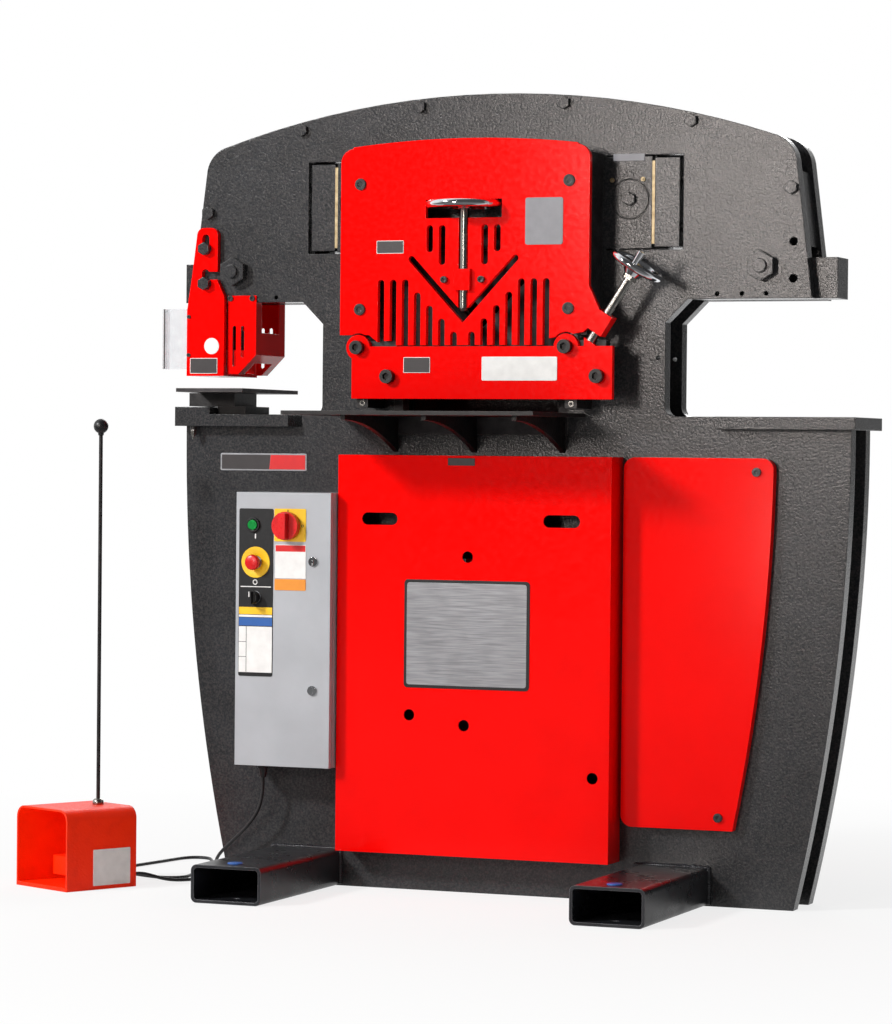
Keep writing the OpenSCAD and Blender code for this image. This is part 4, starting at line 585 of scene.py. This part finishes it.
def grow(name, grower, values, material, body, points, edges=()):
    """Makes a piece by growing a geometry node tree on points or lines given in millimetres."""
    tree, keys = grower
    guide = bpy.data.meshes.new(name)
    guide.from_pydata([[v * MM for v in point] for point in points], list(edges), [])
    host = bpy.data.objects.new(name, guide)
    bpy.context.scene.collection.objects.link(host)
    modifier = host.modifiers.new(name, "NODES")
    modifier.node_group = tree
    for label, value in values.items():
        modifier[keys[label]] = value
    modifier[keys["Finish"]] = bpy.data.materials[material]
    seen = host.evaluated_get(bpy.context.evaluated_depsgraph_get())
    mesh = bpy.data.meshes.new_from_object(seen)
    bpy.data.objects.remove(host)
    bpy.data.meshes.remove(guide)
    mesh.name = name
    settle(name, mesh, material, body, smooth=True)


def place_camera(scene):
    """The photo's camera, as the machine's square edges give it."""
    right = Vector((math.cos(YAW), math.sin(YAW), 0.0))
    ahead = Vector((-math.sin(YAW) * math.cos(PITCH), math.cos(YAW) * math.cos(PITCH), -math.sin(PITCH)))
    up = right.cross(ahead)
    tilted = right * math.cos(ROLL) + up * math.sin(ROLL)
    upright = up * math.cos(ROLL) - right * math.sin(ROLL)
    lens = bpy.data.cameras.new("studio camera")
    lens.sensor_fit = "VERTICAL"
    lens.sensor_height = SENSOR_HEIGHT
    lens.lens = FOCAL_LENGTH
    lens.clip_end = 100.0
    camera = bpy.data.objects.new("studio camera", lens)
    turn = Matrix((tilted, upright, -ahead)).transposed().to_4x4()
    camera.matrix_world = Matrix.Translation(CAMERA_PLACE) @ turn
    scene.collection.objects.link(camera)
    scene.camera = camera


def hang_lamps(scene):
    """Square softboxes that face the middle of the machine."""
    for name, (spot, size, watts, tint) in LAMPS.items():
        light = bpy.data.lights.new(name, "AREA")
        light.shape = "SQUARE"
        light.size = size
        light.energy = watts
        light.color = hex_colour(tint)[:3]
        lamp = bpy.data.objects.new(name, light)
        aim = LAMP_AIM - Vector(spot)
        lamp.matrix_world = Matrix.Translation(spot) @ aim.to_track_quat("-Z", "Y").to_matrix().to_4x4()
        scene.collection.objects.link(lamp)


def pale_surround(scene):
    """A white backdrop for the camera, and a dimmer room for the light and for most reflections."""
    world = bpy.data.worlds.new("studio surround")
    scene.world = world
    world.use_nodes = True
    tree = world.node_tree
    tree.nodes.clear()
    rays = add(tree, "ShaderNodeLightPath").outputs
    backdrop, room_light, room_gleam = (-0.8, 0.5, 0.33), 0.19, 0.07
    # Reflections meet the white backdrop behind and to the left, and the dimmer room elsewhere
    look = add(tree, "ShaderNodeTexCoord").outputs["Generated"]
    toward = add(tree, "ShaderNodeVectorMath", {0: look}, {1: backdrop}, operation="DOT_PRODUCT")
    behind = ranged(tree, toward.outputs["Value"], (0.25, 0.6), (0.0, 1.0))
    mirrored = reckon(tree, "MULTIPLY", rays["Is Glossy Ray"], behind)
    first = reckon(tree, "MAXIMUM", rays["Is Camera Ray"], mirrored)
    seen = reckon(tree, "MAXIMUM", first, rays["Is Transmission Ray"])
    level = ranged(tree, rays["Is Glossy Ray"], (0.0, 1.0), (room_light, room_gleam))
    room = add(tree, "ShaderNodeBackground", {"Strength": level}, {"Color": WHITE})
    white = add(tree, "ShaderNodeBackground", sockets={"Color": WHITE, "Strength": 1.0})
    both = add(tree, "ShaderNodeMixShader",
               {0: seen, 1: room.outputs["Background"], 2: white.outputs["Background"]})
    add(tree, "ShaderNodeOutputWorld", {"Surface": both.outputs["Shader"]})


def pale_floor(scene):
    """A matt white floor that meets the white surround and keeps the machine's soft shadow."""
    tree, place = start_material("matt floor")
    tint = ramp(tree, noise(tree, place, 1.25, 2.0), two_tone("#f4f4f3", "#fafaf9"))
    matt = add(tree, "ShaderNodeBsdfDiffuse", {"Color": tint})
    rays = add(tree, "ShaderNodeLightPath").outputs
    # Seen directly it glows white, but near the machine the lamps light a fifth of it, so its shadow shows
    first = reckon(tree, "MAXIMUM", rays["Is Camera Ray"], rays["Is Transmission Ray"])
    away = add(tree, "ShaderNodeVectorMath", {0: place}, operation="LENGTH").outputs["Value"]
    direct = reckon(tree, "MULTIPLY", first, ranged(tree, away, (0.7, 2.4), (0.8, 1.0)))
    share = reckon(tree, "MAXIMUM", direct, rays["Is Glossy Ray"])
    # In reflections the floor is white behind the machine and dimmer in front, as the surround is
    depth = add(tree, "ShaderNodeSeparateXYZ", {"Vector": place}).outputs["Y"]
    dim = reckon(tree, "MULTIPLY", rays["Is Glossy Ray"], ranged(tree, depth, (-1.2, 0.8), (0.85, 0.0)))
    level = reckon(tree, "SUBTRACT", 1.0, dim)
    glow = add(tree, "ShaderNodeEmission", {"Strength": level}, {"Color": WHITE})
    both = add(tree, "ShaderNodeMixShader", {0: share, 1: matt.outputs["BSDF"], 2: glow.outputs["Emission"]})
    add(tree, "ShaderNodeOutputMaterial", {"Surface": both.outputs["Shader"]})
    reach, below = 14.0, Matrix.Translation((0.0, 0.0, -0.0006))
    sheet = bmesh.new()
    bmesh.ops.create_grid(sheet, x_segments=1, y_segments=1, size=reach, matrix=below)
    mesh = bpy.data.meshes.new("studio floor")
    sheet.to_mesh(mesh)
    sheet.free()
    mesh.materials.append(bpy.data.materials["matt floor"])
    floor = bpy.data.objects.new("studio_floor", mesh)
    scene.collection.objects.link(floor)


class IRONWORKER_OT_stage(bpy.types.Operator):
    """Set the camera, the lamps, the pale surroundings and the floor"""
    bl_idname = "ironworker.stage"
    bl_label = "Stage"

    def execute(self, context):
        context.scene.view_settings.view_transform = "Standard"
        for step in (place_camera, hang_lamps, pale_surround, pale_floor):
            step(context.scene)
        return {"FINISHED"}


class IRONWORKER_OT_cord(bpy.types.Operator):
    """Lay the foot switch cord along its route"""
    bl_idname = "ironworker.cord"
    bl_label = "Foot switch cord"

    def execute(self, context):
        knots = [Vector(p) * MM for p in CORD_ROUTE]
        line = [2 * knots[0] - knots[1], *knots, 2 * knots[-1] - knots[-2]]
        # A uniform cubic spline that the route's points guide
        steps = 6
        path = []
        for before, a, b, after in zip(line, line[1:], line[2:], line[3:]):
            for k in range(steps):
                t = k / steps
                path.append(((1 - t) ** 3 * before + (3 * t ** 3 - 6 * t ** 2 + 4) * a
                             + (-3 * t ** 3 + 3 * t ** 2 + 3 * t + 1) * b + t ** 3 * after) / 6)
        path.append(knots[-1])
        curve = bpy.data.curves.new("pedal_cord_sleeve", "CURVE")
        curve.dimensions = "3D"
        curve.bevel_depth = sizes().cord_diameter / 2
        curve.bevel_resolution = 4
        curve.use_fill_caps = True
        spline = curve.splines.new("POLY")
        spline.points.add(len(path) - 1)
        for point, spot in zip(spline.points, path):
            point.co = (*spot, 1.0)
        spline.use_smooth = True
        curve.materials.append(bpy.data.materials["moulded black rubber"])
        cord = bpy.data.objects.new("pedal_cord_sleeve", curve)
        context.scene.collection.objects.link(cord)
        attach(cord, "frame")
        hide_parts("pedal_cord")
        return {"FINISHED"}


class IRONWORKER_OT_finishes(bpy.types.Operator):
    """Make the finishes and put them on the carried-over nodes"""
    bl_idname = "ironworker.finishes"
    bl_label = "Finishes"

    def execute(self, context):
        for make in (textured_powder_coat, semi_gloss_enamel, clear_polycarbonate, paints, metals, plastics):
            make()
        left = set(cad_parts)
        for name, nodes in NODE_FINISH.items():
            for node in nodes:
                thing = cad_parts[node]
                left.discard(node)
                if not thing.material_slots:
                    thing.data.materials.append(None)
                for place in thing.material_slots:
                    place.material = bpy.data.materials[name]
        if left:
            raise RuntimeError("nodes without a finish: " + ", ".join(sorted(left)))
        return {"FINISHED"}


class IRONWORKER_OT_controls(bpy.types.Operator):
    """Fit the plates, rings and caps of the control cabinet's door"""
    bl_idname = "ironworker.controls"
    bl_label = "Cabinet controls"

    def execute(self, context):
        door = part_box("cabinet_door")[0][1] / MM
        thick = sizes().plate_thickness / MM
        front = door - thick
        low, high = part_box("selector_knob")
        grip, knob = low[1] / MM, (high[0] - low[0]) / 2 / MM
        button_hole, isolator_hole, knob_gap = 13, 16, 0.5
        # Plates on the door, with clearance holes for the controls that pass through them
        plates = (("legend_plate", (-513, 434, -436, 779.5, 4), "black film", "black_plastic",
                   [(*START, button_hole), (*STOP, button_hole), (*SELECTOR, knob + knob_gap)]),
                  ("isolator_plate", (-434, 712.5, -363, 780, 3), "yellow film", "grey_paint",
                   [(*ISOLATOR, isolator_hole)]),
                  ("door_white_plate", (-431.5, 637, -362.5, 706, 2), "white film", "grey_paint", ()),
                  ("door_orange_plate", (-432.5, 612.5, -362.5, 635.5, 2), "orange film", "grey_paint", ()))
        for name, edges, film, slot, holes in plates:
            piece(name, plate(rounded(*edges), door, thick, holes=holes), film, "door")
        # Plain bands on the legend plate, and the start button's mark
        bands = (("legend_rule", (-509, 617.6, -440, 619.4, 0.8), "white film"),
                 ("legend_band", (-512, 561.6, -437, 576.4, 0.8), "yellow film"),
                 ("legend_blue_band", (-512, 538, -437, 555, 0.8), "blue film"),
                 ("legend_panel", (-512, 442, -437, 536.5, 0.8), "white film"),
                 ("legend_gap", (-512, 556, -437, 560.5, 0.8), "white film"),
                 ("start_mark", (-477.2, 717.5, -474.8, 727.5, 0.6), "white film"))
        for name, edges, film in bands:
            piece(name, plate(rounded(*edges), front, FILM, FILM_EASE), film, "door")
        # Plain rules that part the panel into boxes, and a red band on the plate under the isolator
        rules = (("panel_upper_rule", (-512, 504.5, -495, 505.5, 0.4), front - FILM, "black film"),
                 ("panel_lower_rule", (-512, 473.5, -495, 474.5, 0.4), front - FILM, "black film"),
                 ("panel_upright_rule", (-495.5, 442, -494.5, 536.5, 0.4), front - FILM, "black film"),
                 ("door_red_band", (-430.5, 692, -363.5, 705, 0.4), front, "red film"))
        for name, edges, back, film in rules:
            piece(name, plate(rounded(*edges), back, RULE, 0.0), film, "door")
        # The stop's ring mark, and a stroke and a ring beside the isolator
        piece("stop_mark", flat_ring((-476, front, 628), 3.6, 5.4, FILM), "white film", "door")
        piece("isolator_on_mark", plate(rounded(-404.3, 773.4, -402.5, 778.2, 0.4), front, MARK, 0.0),
              "black film", "door")
        piece("isolator_off_mark", flat_ring((-370.5, front, ISOLATOR[1]), 1.7, 2.7, MARK, 24),
              "black film", "door")
        # The start button's bezel and the stop's yellow disc
        bezel = [(11, 0), (15.5, 0), (15.5, 3.2), (14.6, 4.4), (12, 4.4), (11, 3.6)]
        piece("start_bezel", turned(bezel, (START[0], front, START[1]), FACE_FRONT, True),
              "black moulded plastic", "door", smooth=True)
        stop_disc = [(14, 0), (32, 0), (32, 0.9), (31.5, 1.4), (14.4, 1.4), (14, 1.2)]
        piece("stop_disc", turned(stop_disc, (STOP[0], front, STOP[1]), FACE_FRONT, True, 64),
              "yellow film", "door", smooth=True)
        # Mushroom head with a rounded rim
        mushroom = [(0, -6), (10, -6), (10, 14), (13, 14), (15.6, 15), (16, 17.5), (15.6, 21), (13.6, 24),
                    (9, 25.6), (4, 26), (0, 26)]
        piece("stop_mushroom", turned(mushroom, (STOP[0], door, STOP[1]), FACE_FRONT),
              "red moulded plastic", "emergency_stop", ["estop_button"], True)
        # White pointer on the selector's grip
        x, z = SELECTOR
        piece("selector_pointer", plate(rounded(x - 1, z + 1, x + 1, z + 12, 0.8), grip, MARK, FILM_EASE),
              "white film", "selector")
        return {"FINISHED"}


class IRONWORKER_OT_plates(bpy.types.Operator):
    """Fix plain plates where machines of this kind carry them"""
    bl_idname = "ironworker.plates"
    bl_label = "Plain plates"

    def execute(self, context):
        thick = sizes().plate_thickness / MM
        # The nodes that carry plates: the body of each and the Y of its front
        bodies = {"upper_guard": "frame", "front_cover": "frame", "front_plate": "frame",
                  "hold_down_plate": "hold_down", "stripper": "stripper_bracket"}
        fronts = {node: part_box(node)[0][1] / MM for node in bodies}
        plates = (
            ("guard_capacity_plate", "upper_guard", "white film", rounded(-210.5, 1300, -151.5, 1326, 1.5)),
            ("guard_grey_plate", "upper_guard", "grey film", rounded(110.5, 1314, 190.5, 1408, 5)),
            ("clamp_capacity_plate", "hold_down_plate", "white film",
             rounded(-149.6, 1058.5, -91.7, 1090, 1.5)),
            ("clamp_white_plate", "hold_down_plate", "white film", rounded(20, 1043, 181, 1091, 3)),
            ("bracket_round_plate", "stripper", "white film", disc(-621, 1116.5, 17)),
            ("bracket_grey_plate", "stripper", "white film", rounded(-670.5, 1059, -607.6, 1091.5, 1.5)),
            ("frame_silver_plate", "front_plate", "brushed aluminium plate",
             rounded(-604, 857, -407, 893, 3)),
            ("gib_small_plate", "front_plate", "grey film", rounded(260, 1485.5, 326, 1499.5, 1)),
            ("cover_small_plate", "front_cover", "dark film", rounded(-63.5, 872, -5, 887, 1)),
            ("cover_backing_plate", "front_cover", "black film", rounded(-156, 420, 116, 640, 8)),
        )
        for name, node, film, outline in plates:
            piece(name, plate(outline, fronts[node], thick), film, bodies[node])
        # Fields on some of the plates, a border's width inside their edges
        dark_half = [(-601, 860), (-492.3, 860), (-489.3, 890), (-601, 890)]
        red_half = [(-491.7, 860), (-410, 860), (-410, 890), (-488.7, 890)]
        fields = (
            ("guard_capacity_field", "upper_guard", "dark film", rounded(-209.3, 1301.2, -152.7, 1324.8, 1)),
            ("clamp_capacity_field", "hold_down_plate", "dark film",
             rounded(-148.4, 1059.7, -92.9, 1088.8, 1)),
            ("bracket_field", "stripper", "dark film", rounded(-669.3, 1060.2, -608.8, 1090.3, 1)),
            ("frame_dark_field", "front_plate", "dark film", dark_half),
            ("frame_red_field", "front_plate", "red film", red_half),
        )
        for name, node, film, outline in fields:
            field = plate(outline, fronts[node] - thick, FILM, FILM_EASE)
            piece(name, field, film, bodies[node])
        badge_thickness = 0.8
        piece("cover_aluminium_plate",
              plate(rounded(-150, 426, 110, 634, 6), fronts["front_cover"] - thick, badge_thickness),
              "brushed aluminium plate", "frame")
        # Painted shade: a dark line where the clear shield is bent back
        low, high = ([value / MM for value in corner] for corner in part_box("clear_shield"))
        bend_start, bend_end = low[0] + 3, low[0] + 6
        bend_shade = rounded(bend_start, low[2], bend_end, high[2], 0.8)
        piece("shield_bend_shade", plate(bend_shade, low[1], FILM, FILM_EASE),
              "dark film", "stripper_bracket")
        # White plate on the foot switch's right side, square to the switch's own heading
        middle, heading, right_side = (-0.811, -0.311, 0.0), -26, -87
        turn = Matrix.Translation(middle) @ Matrix.Rotation(math.radians(heading + 90), 4, "Z")
        piece("foot_switch_plate", plate(rounded(-22, 8, 72, 82, 2), right_side, thick, turn=turn),
              "white film", "frame")
        return {"FINISHED"}


class IRONWORKER_OT_welds(bpy.types.Operator):
    """Lay the weld beads where the feet meet the frame plates"""
    bl_idname = "ironworker.welds"
    bl_label = "Weld beads"

    def execute(self, context):
        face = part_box("front_plate")[0][1] / MM
        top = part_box("feet")[1][2] / MM
        bottom, proud = 6, 1.5
        points, edges = [], []
        for y in (face - proud, proud - face):
            for middle in (-FOOT_X, FOOT_X):
                start = len(points)
                left, right = middle - FOOT_HALF, middle + FOOT_HALF
                points += [(left, y, bottom), (left, y, top), (right, y, top), (right, y, bottom)]
                edges += [(start + i, start + i + 1) for i in range(3)]
        grow("foot_welds", weld_tree(), {"Width": sizes().weld_width, "Ripple": sizes().weld_pitch},
             "painted weld", "frame", points, edges)
        return {"FINISHED"}


class IRONWORKER_OT_plugs(bpy.types.Operator):
    """Press the blue caps into the tops of the feet"""
    bl_idname = "ironworker.plugs"
    bl_label = "Foot caps"

    def execute(self, context):
        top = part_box("feet")[1][2] / MM
        r = sizes().plug_radius / MM
        cap = [(0, -6), (11.5, -6), (12, 0.05), (r, 0.05), (r, 1.4), (r - 1.2, 2.6), (r * 0.5, 3.4), (0, 3.6)]
        spots = [(x, y, top) for x in (-FOOT_X, FOOT_X) for y in (-CAP_Y, CAP_Y)]
        for count, spot in enumerate(spots, 1):
            piece("foot_cap_%d" % count, turned(cap, spot, UPRIGHT),
                  "blue moulded plastic", "frame", smooth=True)
        return {"FINISHED"}


class IRONWORKER_OT_screws(bpy.types.Operator):
    """Set the small screws and nuts, and the knob of the foot switch's rod"""
    bl_idname = "ironworker.screws"
    bl_label = "Small screws"

    def execute(self, context):
        tree = screw_tree()
        height = 3.0
        small, large, button = (sizes().cap_radius * share for share in (2 / 3, 1, 1.9))
        # The button heads start half way into the guard's own flat screw heads
        seat = 1
        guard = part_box("upper_guard")[0][1] / MM - seat
        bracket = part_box("stripper")[0][1] / MM
        punch_guard = -73
        # The guide blocks' screws lie sunk, so that the hold-down plate slides over them
        proud = 0.15
        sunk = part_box("guide_blocks")[0][1] / MM + height - proud
        sets = (("guard_button_screws", "frame", "black oxide steel", "black_oxide", button,
                 [(x, guard, z) for z in (1187, 1441) for x in (-247, 203)]),
                ("guard_screws_small", "frame", "black oxide steel", "black_oxide", large,
                 [(x, punch_guard, 1216.3) for x in (-583, -533)]),
                ("bracket_screws", "stripper_bracket", "black oxide steel", "black_oxide", small,
                 [(-674, bracket, z) for z in (1178, 1098)]),
                ("guide_screws", "frame", "zinc plated steel", "zinc_steel", large,
                 [(x, sunk, 997) for x in (-244.9, 206.2)]))
        for name, body, material, slot, radius, spots in sets:
            values = {"Head radius": radius, "Head height": height * MM}
            points = [(x, y - height / 2, z) for x, y, z in spots]
            grow(name, tree, values, material, body, points)
        # Collar, nut and stud that hang under the left end of the bolster. The dark collar fills the shaded
        # gap under the bolster, so its darkness is painted shade.
        under = (-659, -88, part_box("left_bolster")[0][2] / MM)
        collar = [(0, 0), (7, 0), (7.5, -0.6), (7.5, -7.4), (7, -8), (0, -8)]
        nut = [(0, -8), (6.4, -8), (6.9, -8.6), (6.9, -18), (6.2, -19), (0, -19)]
        stud = [(0, -19), (2.6, -19), (2.6, -27), (2, -28), (0, -28)]
        piece("bolster_collar", turned(collar, under, UPRIGHT),
              "black oxide steel", "frame", smooth=True)
        piece("bolster_nut", turned(nut, under, UPRIGHT, steps=6), "zinc plated steel", "frame")
        piece("bolster_stud", turned(stud, under, UPRIGHT),
              "zinc plated steel", "frame", smooth=True)
        # Dome nut at the foot of the pedal's carrying rod, and the rod's glossy knob
        low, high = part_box("pedal_rod")
        axis = [(a + b) / 2 / MM for a, b in zip(low[:2], high[:2])]
        dome = [(4.2, 0), (11.2, 0), (11.5, 0.6), (11.5, 6), (10, 9.4), (7.6, 11.6), (4.2, 12.6)]
        piece("rod_dome_nut", turned(dome, (*axis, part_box("pedal_guard")[1][2] / MM), UPRIGHT, True),
              "zinc plated steel", "frame", smooth=True)
        ball, ball_drop = 15.3, 15
        bulge = [on_circle(0, 0, ball, angle) for angle in range(-66, 90, 12)]
        knob = [(4.1, -19), (5.6, -19), (6.0, -15), *bulge, (0, ball)]
        piece("rod_knob", turned(knob, (*axis, high[2] / MM - ball_drop), UPRIGHT),
              "black moulded plastic", "frame", smooth=True)
        return {"FINISHED"}


class IRONWORKER_PT_panel(bpy.types.Panel):
    """Lists the ironworker's operators, sizes and colours"""
    bl_idname = "IRONWORKER_PT_panel"
    bl_label = "Ironworker"
    bl_space_type = "VIEW_3D"
    bl_region_type = "UI"
    bl_category = "Ironworker"

    def draw(self, context):
        for operator in OPERATORS:
            self.layout.operator(operator.bl_idname)
        for group in (context.scene.ironworker_sizes, context.scene.ironworker_colours):
            for name in group.__annotations__:
                self.layout.prop(group, name)


OPERATORS = (
    IRONWORKER_OT_stage, IRONWORKER_OT_finishes, IRONWORKER_OT_cord, IRONWORKER_OT_controls,
    IRONWORKER_OT_plates, IRONWORKER_OT_welds, IRONWORKER_OT_plugs, IRONWORKER_OT_screws,
)
CLASSES = (IronworkerColours, IronworkerSizes, *OPERATORS, IRONWORKER_PT_panel)


def register():
    """Registers the classes and the scene's settings."""
    for item in CLASSES:
        bpy.utils.register_class(item)
    bpy.types.Scene.ironworker_colours = bpy.props.PointerProperty(type=IronworkerColours)
    bpy.types.Scene.ironworker_sizes = bpy.props.PointerProperty(type=IronworkerSizes)


def unregister():
    """Removes the scene's settings and the classes."""
    del bpy.types.Scene.ironworker_sizes
    del bpy.types.Scene.ironworker_colours
    for item in reversed(CLASSES):
        bpy.utils.unregister_class(item)


def main():
    """Registers the settings and dresses the machine in order."""
    register()
    bpy.ops.ironworker.stage()
    bpy.ops.ironworker.finishes()
    bpy.ops.ironworker.cord()
    bpy.ops.ironworker.controls()
    bpy.ops.ironworker.plates()
    bpy.ops.ironworker.welds()
    bpy.ops.ironworker.plugs()
    bpy.ops.ironworker.screws()


if __name__ == "__main__":
    main()
